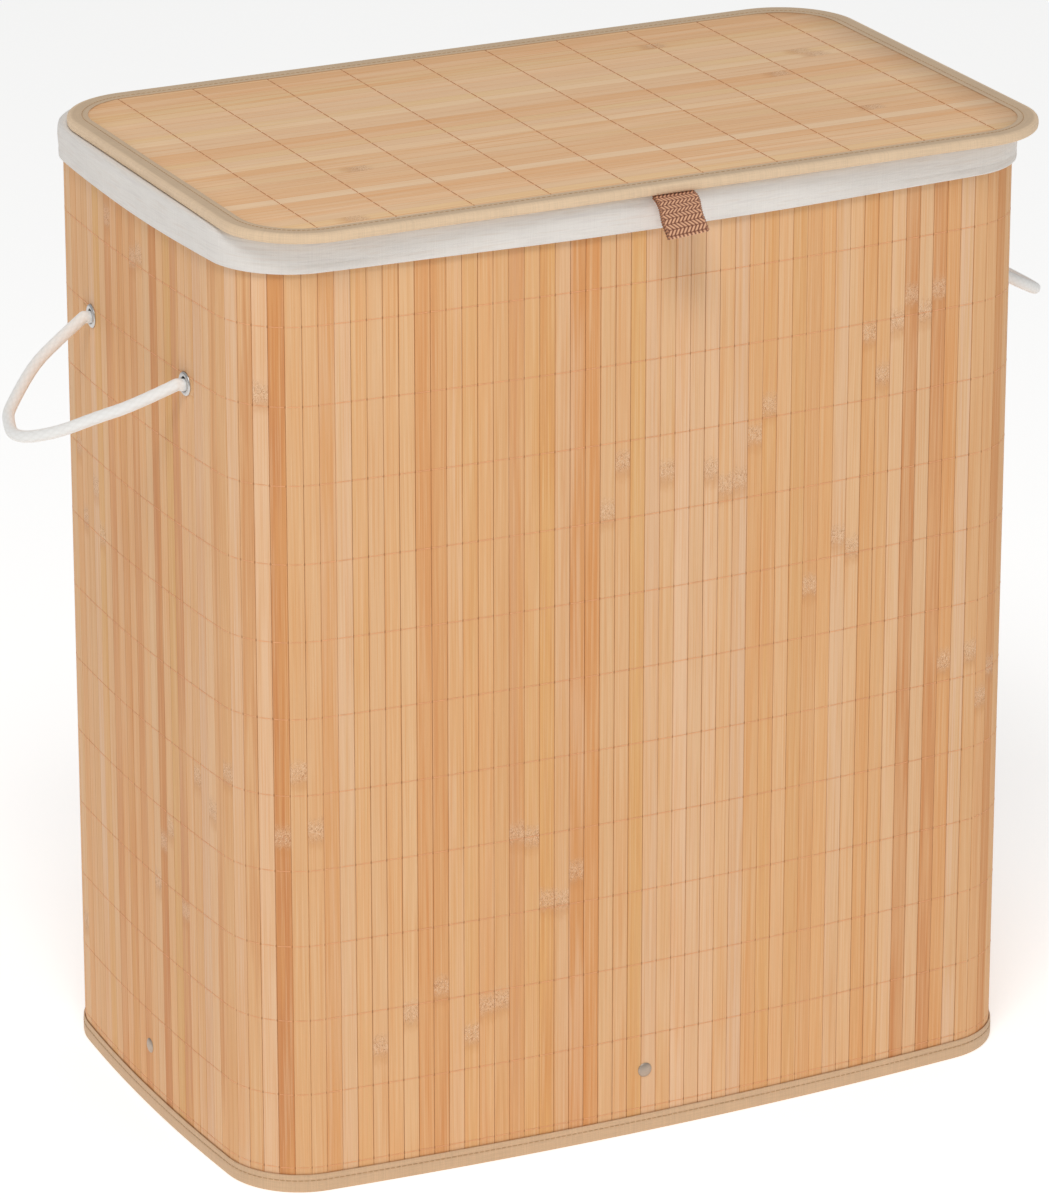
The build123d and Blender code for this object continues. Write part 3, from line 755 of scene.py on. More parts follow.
def lid_edge(inset, count=None, t=None):
    """Point and outward normal on the lid's plan, inset inwards. t runs over the outer edge's length."""
    w, d = LW / 2 - LR, LD / 2 - LR
    seg = [2 * w, LR * math.pi / 2, 2 * d, LR * math.pi / 2] * 2
    start = np.concatenate([[0], np.cumsum(seg)])
    total = start[-1]
    if t is None:
        t = np.arange(count) / count * total + seg[0] * 1.5 + seg[1] * 2 + seg[2]
    raw = np.asarray(t, float)
    t = raw % total
    k = np.clip(np.searchsorted(start, t, side="right") - 1, 0, 7)
    f = t - start[k]
    c = np.array([(-w, -d), (w, -d), (w, -d), (w, d), (w, d), (-w, d), (-w, d), (-w, -d)])[k]
    straight = (k % 2) == 0
    base = (k // 2) * math.pi / 2 - math.pi / 2
    ang = np.where(straight, base, base + f / LR)
    n = np.stack([np.cos(ang), np.sin(ang)], -1)
    tt = np.stack([-n[:, 1], n[:, 0]], -1)
    p = c + n * (LR - inset) + np.where(straight, f, 0)[:, None] * tt
    return p + np.array([LX, LY]), n, raw, total


def lid_band(prof, name, material, count=620, wave=None):
    prof = np.array(prof, float)
    rows, att = [], []
    L = profile_len(prof)[:-1]
    for j, (ins, z) in enumerate(prof):
        p, n, t, total = lid_edge(ins, count)
        zz = np.full(len(t), z)
        if wave is not None:
            p, zz = wave(p, n, t, ins, zz)
        rows.append(np.concatenate([p, zz[:, None]], -1))
        att.append(np.stack([t, np.full(len(t), L[j]), np.zeros(len(t))], -1))
    b = Build()
    b.grid(np.stack(rows, 1), wrap_u=True, wrap_v=True, cloth=np.stack(att, 1),
           wrap_add=(total, float(profile_len(prof)[-1])))
    return b.make(name, material)


lid_prof = [(13.0, 614.42), (8.0, 614.40), (2.2, 614.42), (0.9, 614.65), (0.25, 615.3), (0.0, 616.4), (-0.05, 617.4),
            (0.0, 618.5), (0.22, 619.5), (0.8, 620.2), (1.8, 620.55), (3.5, 620.66), (6.0, 620.64), (8.3, 620.56),
            (9.05, 620.36), (9.35, 620.28), (9.65, 620.36), (10.1, 620.54), (10.9, 620.52), (11.4, 620.49),
            (11.7, 620.48), (12.2, 620.46), (12.8, 620.42), (12.96, 620.36), (13.02, 620.20), (13.0, 620.0),
            (9.0, 619.98), (1.2, 619.98), (1.0, 619.8), (1.0, 615.1), (1.2, 614.94), (9.0, 614.92), (13.0, 614.90)]


def lid_wave(p, n, t, ins, z):
    if ins > 12.0:
        p = p + n * (fbm(t / 41.0, 21, 2) * 0.22)[:, None]
    return p, z


# shade paints shade over the tape's top, from near its rounded outer edge inwards
LID_TAPE = weave_material("lid_binding_tape", lin(240, 211, 176), lin(214, 185, 152), pitch=0.8, ribs=True,
                          depth=0.00016, sheen=0.15, shade=(19.3, 21.2, 31.0, 32.5, lin(232, 230, 227)))
o = lid_band(lid_prof, "lid_tape", LID_TAPE, wave=lid_wave)
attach(o, "lid"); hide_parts("lid_binding")
lid_tape = o
b = Build()
_, _, _, edge_total = lid_edge(0, 4)
for ins, z in ((9.35, 620.30),):
    def top_path(ss, ins=ins, z=z):
        p, n, t, _ = lid_edge(ins, t=ss)
        return np.concatenate([p, np.full((len(p), 1), z)], -1), np.tile([0.0, 0, 1.0], (len(p), 1))
    dashes(b, top_path, edge_total, 2.8, 0.7, 0.24, 0.3)
o = b.make("lid_tape_stitches", STITCH)
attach(o, "lid")

# slats of the lid, their long way along X, ends under the tape
b = Build()
LP, LSW = 10.1, 10.0
x_steps = 15
for i in range(33):
    y = LY - 16 * LP + i * LP
    dy = max(abs(y - LY) + LSW / 2 - (LD / 2 - LR), 0)
    inset = 2.0
    run = LW / 2 - LR + math.sqrt(max((LR - inset) ** 2 - dy ** 2, 0)) if dy < LR - inset else LW / 2 - LR
    if abs(y - LY) + LSW / 2 > LD / 2 - inset:
        half_w = (LD / 2 - inset - (abs(y - LY) - LSW / 2)) / 2
        y = math.copysign(LD / 2 - inset - half_w, y - LY) + LY
        dy = LD / 2 - inset - (LD / 2 - LR)
        run = LW / 2 - LR
    else:
        half_w = LSW / 2
    xs = np.linspace(-run, run, x_steps) + LX
    wide = half_w + fbm(xs / 120.0, 5000 + i, 2) * 0.06
    drift = fbm(xs / 90.0, 6000 + i, 2) * 0.06
    lift = rng.uniform(-0.05, 0.0)
    across = FX[None, :] * wide[:, None] + drift[:, None]
    depth = np.where(FD[None, :] > 1.0, -1.4, -FD[None, :] * 0.45 + lift) * np.ones_like(across)
    G = np.empty(across.shape + (3,))
    G[..., 0] = xs[:, None]
    G[..., 1] = y - across
    G[..., 2] = 619.95 + depth
    grain = np.stack([across, np.broadcast_to(xs[:, None], across.shape), np.full(across.shape, 900 + i * 17.7)], -1)
    nz = rng.uniform(-230, 230) if rng.random() < 0.35 else 3000.0
    lid_tone = pick(LID_TONES, LID_TONE_P, i)
    lid_tone2 = pick(LID_TONES, LID_TONE_P, i) * 0.6 + lid_tone * 0.4
    b.grid(G, wrap_v=True, caps=True, flip=True, grain=grain, tone=lid_tone, tone2=lid_tone2,
           node=np.broadcast_to(xs[:, None] - nz, across.shape) + 0.0,
           edge=(1 - np.abs(FX))[None, :] * wide[:, None] + 0.0)
o = b.make("lid_bamboo", LID_BAMBOO)
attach(o, "lid"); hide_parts("lid_slats")

# the lid's stitched rows
b = Build()
for k in range(10):
    x = -223.0 + 50.5 * k
    i0 = np.arange(-16, 17)
    y = (LY + i0[:, None] * LP + (fr[None, :] - 0.5) * LP).ravel()
    h = np.tile(hh, len(i0))
    sel = (y > LY - LD / 2 + 11.5) & (y < LY + LD / 2 - 11.5)
    y, h = y[sel], h[sel]
    P = np.stack([x + fbm(y / 60.0, 80 + k, 2) * 0.25, y, 619.95 + h], -1)
    tube(b, P, 0.27, 6, up=np.array([0, 0, 1.0]), cloth=np.stack(
        [np.broadcast_to(y[:, None], (len(y), 6)), np.broadcast_to(np.arange(6)[None] * 0.37, (len(y), 6)),
         np.full((len(y), 6), k * 2.3)], -1))
# the second colour is the painted shade in the thread's twist
LID_THREAD = yarn_material("lid_thread", lin(208, 138, 84), lin(150, 90, 48))
o = b.make("lid_rows", LID_THREAD)
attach(o, "lid"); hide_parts("lid_stitching")


def plate(name, ring, z0, z1, material, cloth_scale=1.0):
    """A thin closed sheet inside a closed plan ring (n, 2)."""
    ring = np.asarray(ring)
    c = (ring.max(0) + ring.min(0)) / 2
    ks = np.array([0.02, 0.25, 0.5, 0.75, 0.92, 1.0])
    P, A = [], []
    for z, kk in ((z1, ks), (z0, ks[::-1])):
        for k in kk:
            q = c + (ring - c) * k
            P.append(np.concatenate([q, np.full((len(q), 1), z)], -1))
            A.append(np.concatenate([q, np.zeros((len(q), 1))], -1))
    b = Build()
    b.grid(np.stack(P), wrap_v=True, caps=True, cloth=np.stack(A), flip=True)
    return b.make(name, material, smooth=False)


def rring(count=360, inset=0.0):
    return lid_edge(inset, count)[0]


o = plate("lid_lining_cloth", rring(inset=1.2), 614.95, 615.5, LINING)
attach(o, "lid"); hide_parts("lid_lining")

# ---- cotton liner ------------------------------------------------------------
NL = 720
sL = np.arange(NL) / NL * WALL_LEN + BACK_S


def bag_ring(inset):
    """The bag's plan, sampled to line up with the wall's own points."""
    w, d, r = 243.0 - inset, 148.0 - inset, 44.0 - inset
    p, n = wall(sL)
    out = np.empty_like(p)
    # scale the wall's ring onto the bag's rounded rectangle
    sx, sy = w / 271.0, d / 165.0
    q = p * np.array([sx, sy])
    q[:, 0] = np.clip(q[:, 0], -w, w)
    q[:, 1] = np.clip(q[:, 1], -d, d)
    # pull corners onto the fillet
    cx = np.clip(q[:, 0], -(w - r), w - r)
    cy = np.clip(q[:, 1], -(d - r), d - r)
    dv = q - np.stack([cx, cy], -1)
    L = np.linalg.norm(dv, axis=1)
    corner = (np.abs(dv[:, 0]) > 1e-6) & (np.abs(dv[:, 1]) > 1e-6)
    k = np.where(L > r, r / np.maximum(L, 1e-9), 1.0)
    out[:] = np.stack([cx, cy], -1) + dv * np.where(corner, k, 1.0)[:, None]
    return out


BAG = bag_ring(0.4)
WP, WN = wall(sL)
liner_rows, liner_v = [], []


def ring_at(off, z):
    return np.concatenate([WP + WN * np.broadcast_to(off, (NL,))[:, None], np.broadcast_to(z, (NL,))[:, None]], -1)


# the cloth's waves meet again where the ring closes
CLOSE = smooth((sL - BACK_S) / WALL_LEN, 0.86, 1.0)


def round_ring(f):
    return f(sL) * (1 - CLOSE) + f(sL - WALL_LEN) * CLOSE


soft1 = round_ring(lambda a: fbm(a / 26.0, 301, 3))
soft2 = round_ring(lambda a: fbm(a / 55.0, 302, 2))
soft3 = round_ring(lambda a: fbm(a / 14.0, 303, 2))
hem = 592.0 + soft2 * 0.5
# inside of the hem, fold, outer face of the cuff, over the rim, neck
cuff = [(1.95, 596.5, 0), (1.9, 593.2, 0), (2.15, 592.15, 0), (2.55, 591.95, 0), (2.9, 592.35, 0), (3.0, 593.4, 0),
        (2.98, 596.0, .3), (2.86, 597.3, .4), (2.84, 597.7, .4), (2.96, 598.2, .5), (3.3, 601.5, 1), (3.5, 605.0, 1),
        (3.45, 608.0, 1), (3.15, 610.6, .8), (2.5, 612.5, .4), (1.2, 613.6, .2), (-1.0, 613.95, .1), (-4.0, 613.95, .1),
        (-7.0, 613.6, .1), (-8.6, 612.4, .2), (-9.3, 610.2, .2), (-9.5, 606.0, .3), (-9.4, 601.0, .4), (-9.5, 597.0, .5)]
for off, z, k in cuff:
    o_ = off + k * (soft1 * 0.28 + soft3 * 0.10)
    z_ = z + (soft2 * 0.45 if z < 600 and off > 0 else 0)
    row = ring_at(o_, z_)
    # pressed flat under the hinge strip at the back
    under = 162.55 + 4.0 * smooth(np.abs(row[:, 0]), 201.0, 222.0)
    if off > 0:
        row[:, 1] = np.minimum(row[:, 1], under)
    row[:, 2] = np.where((row[:, 1] > 140) & (np.abs(row[:, 0]) < 212), np.minimum(row[:, 2], 613.62), row[:, 2])
    liner_rows.append(row)
n_cuff = len(liner_rows)
# shoulder: from the neck out of the wall's plan to the bag's, then down with soft folds
neck = ring_at(-9.5, 597.0)
centre = np.array([0.0, 0.0])
inward = -BAG / np.linalg.norm(BAG, axis=1)[:, None]
# inward normal of the bag ring
tb = np.roll(BAG, -1, 0) - np.roll(BAG, 1, 0)
nb = np.stack([-tb[:, 1], tb[:, 0]], -1)
nb /= np.maximum(np.linalg.norm(nb, axis=1), 1e-9)[:, None]
nb *= np.sign((nb * -BAG).sum(1))[:, None]
for it in range(6):
    nb = (np.roll(nb, 1, 0) + nb * 2 + np.roll(nb, -1, 0)) / 4
nb /= np.linalg.norm(nb, axis=1)[:, None]
arc = np.cumsum(np.concatenate([[0], np.linalg.norm(np.diff(BAG, axis=0), axis=1)]))


def folds(z, s):
    """How far the cloth stands in from the bag's plan at height z, at each point s round."""
    a = s + 9.0 * np.sin(z / 130.0)
    f = 0.5 + 0.5 * np.sin(a / 17.0 + 2.4 * fbm(np.array([z / 210.0]), 77, 2)[0] + 2.2 * fbm(a / 150.0, 78, 2))
    g = 0.5 + 0.5 * np.sin(a / 39.0 + 1.7 * fbm(a / 210.0, 79, 2) + 0.9 * math.sin(z / 170.0))
    amp1 = 1.5 * (0.35 + 0.65 * (0.5 + 0.5 * fbm(a / 120.0 + z / 200.0, 80, 2)))
    return np.clip(amp1 * f ** 1.6 + 3.4 * g ** 2, 0, 8)


for z in np.concatenate([np.linspace(592, 545, 12), np.linspace(538, 40, 58), [32, 26, 20, 16, 13, 11]]):
    t = smooth(z, 597, 545)
    pull = t
    base = (1 - pull) * neck[:, :2] + pull * BAG
    slack = round_ring(lambda a: folds(z, a)) * pull * smooth(z, 8, 60) + 0.25
    r_low = np.clip((24.0 - z) / 13.0, 0, 1) ** 2 * 6.0
    q = base + nb * (slack + r_low)[:, None]
    liner_rows.append(np.concatenate([q, np.full((NL, 1), z)], -1))
last = liner_rows[-1][:, :2]
for k in (0.985, 0.95, 0.88, 0.75, 0.6, 0.45, 0.3, 0.15, 0.03):
    q = last * k
    und = (0.5 + 0.5 * np.sin(q[:, 0] / 31.0 + 1.3) * np.sin(q[:, 1] / 27.0)) * 1.1
    zz = 8.9 + und * smooth(1 - k, 0.0, 0.15) + (1.0 if k > 0.98 else 0)
    liner_rows.append(np.concatenate([q, zz[:, None]], -1))
L = np.stack(liner_rows)
vv = np.concatenate([[0], np.cumsum(np.linalg.norm(np.diff(L.mean(1) * [0, 0, 1], axis=0), axis=1)
                                    + np.array([np.abs(np.linalg.norm(L[i + 1, :, :2], axis=1).mean()
                                                - np.linalg.norm(L[i, :, :2], axis=1).mean())
                                                for i in range(len(L) - 1)]))])
cl = np.stack([np.broadcast_to(sL[None, :], L.shape[:2]), np.broadcast_to(vv[:, None], L.shape[:2]),
               np.zeros(L.shape[:2])], -1)
flat_part = np.arange(len(L)) >= len(L) - 9
cl[flat_part] = np.concatenate([L[flat_part][..., :2], np.zeros(L[flat_part].shape[:2] + (1,))], -1)
b = Build()
cl = cl[..., [1, 0, 2]]                       # down the cloth, then round it
cl[flat_part] = cl[flat_part][..., [1, 0, 2]]
b.grid(L, wrap_v=True, cloth=cl, flip=True, wrap_add=(0.0, WALL_LEN))
b.f.append(np.array([np.arange(NL)[::-1] + b.n - NL][:1]))
b.c.append(cl[-1][::-1])
liner = b.make("liner_cloth", LINEN, sharp_caps=False)
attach(liner, "body"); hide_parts("cotton_liner")


def mesh_area(o):
    return sum(p.area for p in o.data.polygons)


# ---- cloth hinge: one strip from the back wall over the rim and under the lid --
back_y = 163.0
pts = [(back_y + 0.15, 586.0)]
pts += [(back_y + 0.15, z) for z in np.linspace(590, 611.0, 8)]
pts += [(back_y + 0.12, 612.2), (back_y - 0.25, 613.2), (back_y - 1.1, 613.85), (back_y - 2.2, 613.98)]
pts += [(y, 613.98) for y in np.linspace(159.0, 151.2, 6)]
pts += [(y, 613.98 + 0.12 * float(smooth(y, 151.0, 148.5))) for y in np.linspace(150.9, 148.1, 15)]
pts += [(y, 614.12) for y in np.linspace(147.0, 131.0, 8)]
pts = np.array(pts)
tan = np.gradient(pts, axis=0)
tan /= np.linalg.norm(tan, axis=1)[:, None]
nrm = np.stack([tan[:, 1], -tan[:, 0]], -1)
xs = np.linspace(-200, 200, 81)
loop = []
for sgn, order in ((1, slice(None)), (-1, slice(None, None, -1))):
    q = (pts + nrm * 0.2 * sgn)[order]
    loop.append(q)
loop = np.vstack(loop)
run = np.concatenate([[0], np.cumsum(np.linalg.norm(np.diff(pts, axis=0), axis=1))])
vrun = np.concatenate([run, run[::-1]])
G = np.empty((len(xs), len(loop), 3))
G[..., 0] = xs[:, None]
G[..., 1] = loop[None, :, 0]
G[..., 2] = loop[None, :, 1]
G[..., 1] += np.where(loop[None, :, 1] < 612, np.abs(fbm(xs / 30.0, 61, 2))[:, None] * 0.25, 0)
b = Build()
b.grid(G, wrap_v=True, caps=True, cloth=np.stack([np.broadcast_to(xs[:, None], G.shape[:2]),
                                                  np.broadcast_to(vrun[None, :], G.shape[:2]),
                                                  np.zeros(G.shape[:2])], -1))
hinge = b.make("hinge_strip", HINGE)
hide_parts("hinge_body_leaf", "hinge_lid_leaf")
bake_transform(hinge)

# ---- bottom cloth, board, tabs -----------------------------------------------
bp, bn = wall(np.arange(400) / 400 * WALL_LEN)
o = plate("bottom_cloth", bp + bn * -4.3, 0.02, 0.8, HINGE)
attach(o, "body"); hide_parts("base_cloth")


def paint(node, material):
    o = NODES[node]
    o.data.materials.clear()
    o.data.materials.append(material)


paint("base_board", BOARD)
paint("lid_board", BOARD)
paint("rim_wire", WIRE)


def solid_weave(name, color, dark, scale):
    """Cloth look for a CAD part, from its own position."""
    m = Mat(name)
    tc = m.add("ShaderNodeTexCoord").outputs["Object"]
    g = m.scale(tc, (1000.0, 1000.0, 1000.0))
    x, y, z = m.split(g)
    k = 2 * math.pi / scale
    a = m.math("SINE", m.math("MULTIPLY", m.math("ADD", x, y), k))
    c_ = m.math("SINE", m.math("MULTIPLY", z, k))
    h = m.math("ADD", m.math("MULTIPLY", m.math("MULTIPLY", a, c_), 0.5), 0.5)
    n = m.noise(m.scale(g, (0.3, 0.3, 0.3)), 1.0, 3.0)
    # painted shade: where the weave is low, the colour goes towards dark
    c = m.mix(m.math("MULTIPLY", m.math("SUBTRACT", 1.0, h), 0.6), color, dark)
    v = m.span(n, 0.3, 0.7, 0.9, 1.05, "LINEAR")
    c = m.mix(1.0, c, m.join(v, v, v), "MULTIPLY")
    return m.set(c, 0.9, m.bump(h, 0.0002, 0.7), Sheen_Weight=0.1)


# the second colour of each is painted shade in the weave's low places
SOLID_BACK = solid_weave("wall_backing_cloth", lin(150, 104, 64), lin(104, 68, 38), 1.2)
SOLID_TAPE = solid_weave("seam_tape", lin(206, 176, 136), lin(160, 128, 92), 1.0)
paint("wall_backing", SOLID_BACK)
paint("back_seam_tape", SOLID_TAPE)
paint("base_tabs", SOLID_TAPE)
paint("base_rivet_washers", STEEL)
paint("left_eyelet_washers", NICKEL)
paint("right_eyelet_washers", NICKEL)


# ---- lathed metal parts ------------------------------------------------------
def lathe(b, prof, origin, axis, count=64):
    """prof: (radius, along) points, first to last, turned round axis."""
    axis = np.asarray(axis, float) / np.linalg.norm(axis)
    a = np.cross(axis, [0, 0, 1.0])
    a /= np.linalg.norm(a)
    c = np.cross(axis, a)
    th = np.arange(count) / count * 2 * math.pi
    prof = np.asarray(prof, float)
    ring = np.cos(th)[:, None] * a + np.sin(th)[:, None] * c
    G = (np.asarray(origin)[None, None] + axis[None, None] * prof[:, None, 1:2]
         + ring[None] * prof[:, None, 0:1])
    return G


def wall_point(sx, y):
    r = (HD * HD + SIDE_BOW ** 2) / (2 * SIDE_BOW)
    cx = HW + SIDE_BOW - r
    q = math.sqrt(r * r - y * y)
    return np.array([sx * (cx + q), y]), np.array([sx * q, y]) / r


for side, sx in (("left", -1), ("right", 1)):
    b = Build()
    for y in (72.5, -72.5):
        p, n = wall_point(sx, y)
        prof = [(4.45, -4.1), (4.45, -0.2), (4.55, 0.45), (4.85, 0.95), (5.35, 1.18), (6.0, 1.2), (6.7, 1.02),
                (7.2, 0.68), (7.45, 0.30), (7.5, 0.06), (6.6, 0.06), (5.5, 0.05), (5.5, -4.1)]
        G = lathe(b, prof, [p[0], p[1], EYE_Z], [n[0], n[1], 0])
        b.grid(G, wrap_u=True, wrap_v=True, flip=False)
    b.a = [{} for _ in b.a]
    o = b.make(f"{side}_eyelet_rings", NICKEL)
    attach(o, "body"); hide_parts(f"{side}_eyelets")

b = Build()
rv = [(wall_point(-1, 0)), (wall_point(1, 0))]
for sgn, x in ((-1, -8.0), (1, 0.0)):
    bow = FRONT_BOW if sgn < 0 else BACK_BOW
    r = (HW * HW + bow * bow) / (2 * bow)
    cy = HD + bow - r
    q = math.sqrt(r * r - x * x)
    rv.append((np.array([x, sgn * (cy + q)]), np.array([x, sgn * q]) / r))
for p, n in rv:
    prof = [(0.02, 1.45), (0.9, 1.42), (1.9, 1.30), (2.9, 1.08), (3.7, 0.80), (4.3, 0.48), (4.65, 0.18), (4.75, 0.02),
            (4.2, -0.05), (1.9, -0.05), (1.9, -6.2), (0.02, -6.25)]
    G = lathe(b, prof, [p[0], p[1], 42.0], [n[0], n[1], 0], 48)
    b.grid(G, wrap_v=True, caps=True)
b.a = [{} for _ in b.a]
o = b.make("rivet_caps", STEEL)
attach(o, "body"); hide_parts("base_rivets")

# ---- rope handles ------------------------------------------------------------
PIVOT = 5.2
ROUTE = [(PIVOT, 72.5), (34.8, 66.6), (52.4, 58.9), (80.0, 34.8), (86.2, 25.8), (94.2, -0.7), (75.4, -27.9),
         (50.8, -44.3), (32.3, -59.7), (PIVOT, -72.0)]
DROOP = math.radians(30.0)
PX = 269.28 + PIVOT
ROPE_R = 3.75


def braid(th, along):
    """Height of a solid braid's surface, 0 to 1."""
    a = np.abs(np.sin(3 * th + along * 2 * math.pi / 15.0))
    c = np.abs(np.sin(3 * th - along * 2 * math.pi / 15.0))
    return np.sqrt(np.clip(a * c, 0, 1))


def rope_tube(b, P, R, start=0.0, sides=42, domes=(True, True), up=None):
    P = np.asarray(P, float)
    T, A, B = frames(P, up=up)
    along = np.concatenate([[0], np.cumsum(np.linalg.norm(np.diff(P, axis=0), axis=1))]) + start
    th = np.arange(sides) / sides * 2 * math.pi
    h = braid(th[None, :], along[:, None])
    R = np.broadcast_to(np.asarray(R, float), (len(P),))
    rad = R[:, None] - 0.06 + 0.08 * h
    ring = np.cos(th)[None, :, None] * A[:, None] + np.sin(th)[None, :, None] * B[:, None]
    G = P[:, None, :] + ring * rad[..., None]
    rows, att = [G], [np.stack([np.broadcast_to(along[:, None], h.shape),
                                np.broadcast_to(th[None, :] * 3.75, h.shape), np.zeros(h.shape)], -1)]
    hs = [h]
    for end, sign in ((0, -1), (-1, 1)):
        if not domes[0 if end == 0 else 1]:
            continue
        cap, ca, ch = [], [], []
        for phi in (0.3, 0.6, 0.9, 1.15, 1.35, 1.5):
            q = P[end] + T[end] * sign * rad[end].mean() * math.sin(phi) + ring[end] * (rad[end] * math.cos(phi))[:, None]
            cap.append(q)
            ca.append(att[0][end])
            ch.append(h[end])
        cap, ca, ch = np.stack(cap), np.stack(ca), np.stack(ch)
        if end == 0:
            rows.insert(0, cap[::-1]); att.insert(0, ca[::-1]); hs.insert(0, ch[::-1])
        else:
            rows.append(cap); att.append(ca); hs.append(ch)
    # groove carries the braid's height, which the rope material paints as shade in the hollows
    b.grid(np.concatenate(rows), wrap_v=True, caps=True, flip=True, cloth=np.concatenate(att),
           groove=np.concatenate(hs))
    return b


for side, s in (("left", -1), ("right", 1)):
    route = [(s * (PX + (u - PIVOT) * math.cos(DROOP)) * MM, (v if s < 0 else -v) * MM,
              (EYE_Z - (u - PIVOT) * math.sin(DROOP)) * MM) for u, v in ROUTE]
    cu = bpy.data.curves.new(f"{side}_line", "CURVE")
    cu.dimensions = "3D"
    cu.resolution_u = 48
    sp = cu.splines.new("NURBS")
    sp.points.add(len(route) - 1)
    for pt, co in zip(sp.points, route):
        pt.co = (*co, 1.0)
    sp.order_u = 3
    sp.use_endpoint_u = True
    line = bpy.data.objects.new(f"{side}_line", cu)
    bpy.context.scene.collection.objects.link(line)
    bpy.context.view_layer.update()
    me = bpy.data.meshes.new_from_object(line)
    path = [tuple(v.co) for v in me.vertices]
    bpy.data.objects.remove(line)
    bpy.data.meshes.remove(me)
    P = np.array(path) / MM
    print(side, "rope points", len(P), "length", round(float(np.linalg.norm(np.diff(P, axis=0), axis=1).sum()), 1))
    b = Build()
    rope_tube(b, P, ROPE_R)
    o = b.make(f"{side}_handle_rope", ROPE)
    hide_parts(f"{side}_rope")
    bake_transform(o)
    # the rope's length inside the eyelet, and the knot behind the wall
    b = Build()
    for y in (72.5, -72.5):
        p, n = wall_point(s, y)
        n3 = np.array([n[0], n[1], 0.0])
        c0 = np.array([p[0], p[1], EYE_Z])
        low = c0 - np.array([0, 0, 0.62])
        end = np.array([s * PX, y if abs(y) == 72.5 and (y > 0) == (s < 0) else math.copysign(72.0, y), EYE_Z])
        t = np.linspace(-6.0, PIVOT, 34)
        Q = low + n3 * t[:, None]
        bendw = smooth(t, 1.0, PIVOT)[:, None]
        Q = Q * (1 - bendw) + (end + (c0 + n3 * PIVOT - c0 - n3 * PIVOT) + n3 * (t - PIVOT)[:, None]) * bendw
        R = np.full(34, ROPE_R)
        rope_tube(b, Q, R, domes=(False, True), up=np.array([0, 0, 1.0]))
        # overhand knot: a fat ball with wrapped turns
        kc = c0 - n3 * 13.1
        th = np.linspace(0, math.pi, 40)
        ph = np.arange(64) / 64 * 2 * math.pi
        a = np.cross(n3, [0, 0, 1.0])
        c = np.cross(n3, a)
        turns = 0.5 + 0.5 * np.cos(3 * th[:, None] * 2 + 2 * ph[None, :])
        rad = 7.6 + 0.9 * turns
        G = kc + (np.cos(th)[:, None, None] * n3 + np.sin(th)[:, None, None] * (
            np.cos(ph)[None, :, None] * a + np.sin(ph)[None, :, None] * c)) * rad[..., None]
        G = G[1:-1]
        sh = G.shape[:2]
        # groove carries the turns' height, painted as shade in their hollows by the rope material
        b.grid(G, wrap_v=True, caps=True, cloth=np.stack([np.broadcast_to(th[1:-1, None] * 8, sh),
               np.broadcast_to(ph[None] * 8, sh), np.zeros(sh)], -1), groove=turns[1:-1])
    o = b.make(f"{side}_knots", ROPE)
    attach(o, "body"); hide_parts(f"{side}_rope_knots")

# ---- pull tab: a folded loop of herringbone webbing ---------------------------
TAB_X, TAB_W, TAB_L = 3.9, 27.4, 1.15
ctrl = np.array([(-175.4, 612.78), (-179.5, 611.6), (-184.0, 609.6), (-189.6, 606.5), (-195.0, 603.0),
                 (-200.3, 598.9), (-205.0, 594.5)])
cum = np.concatenate([[0], np.cumsum(np.linalg.norm(np.diff(ctrl, axis=0), axis=1))])


def spline(x, xp, fp):
    """Catmull-Rom through fp."""
    x = np.asarray(x, float)
    k = np.clip(np.searchsorted(xp, x, side="right") - 1, 0, len(xp) - 2)
    h = xp[k + 1] - xp[k]
    t = (x - xp[k]) / h
    m = np.gradient(fp, xp, axis=0)
    t = t[:, None]
    h = h[:, None]
    return ((2 * t ** 3 - 3 * t ** 2 + 1) * fp[k] + (t ** 3 - 2 * t ** 2 + t) * h * m[k]
            + (-2 * t ** 3 + 3 * t ** 2) * fp[k + 1] + (t ** 3 - t ** 2) * h * m[k + 1])


STEP = 0.32
n_mid = int(cum[-1] / STEP)
mid_line = spline(np.linspace(0, cum[-1] - 0.6, n_mid), cum, ctrl)
mt = np.gradient(mid_line, axis=0)
mt /= np.linalg.norm(mt, axis=1)[:, None]
mn = np.stack([mt[:, 1], -mt[:, 0]], -1)                 # towards the outside and up
mn *= np.sign(mn[len(mn) // 2, 1])
gap_half = 0.75 + 0.35 * np.sin(np.linspace(0, math.pi, n_mid)) ** 1.0
gap_half[0:12] = np.linspace(0.62, gap_half[12], 12)
upper = mid_line + mn * gap_half[:, None]
lower = mid_line - mn * gap_half[:, None]
tip_c, tip_t, tip_n = mid_line[-1], mt[-1], mn[-1]
ang = np.linspace(0, math.pi, 12)[1:-1]
tip = tip_c + np.sin(ang)[:, None] * tip_t * 0.95 + np.cos(ang)[:, None] * tip_n * gap_half[-1]
line = np.vstack([upper, tip, lower[::-1]])
lt = np.gradient(line, axis=0)
lt /= np.linalg.norm(lt, axis=1)[:, None]
ln = np.stack([lt[:, 1], -lt[:, 0]], -1)
ln *= np.sign((ln[10] * mn[10]).sum())
run_t = np.concatenate([[0], np.cumsum(np.linalg.norm(np.diff(line, axis=0), axis=1))])
print("tab strip length", round(float(run_t[-1]), 1))
wx = np.linspace(-TAB_W / 2, TAB_W / 2, int(TAB_W / 0.36) + 1)


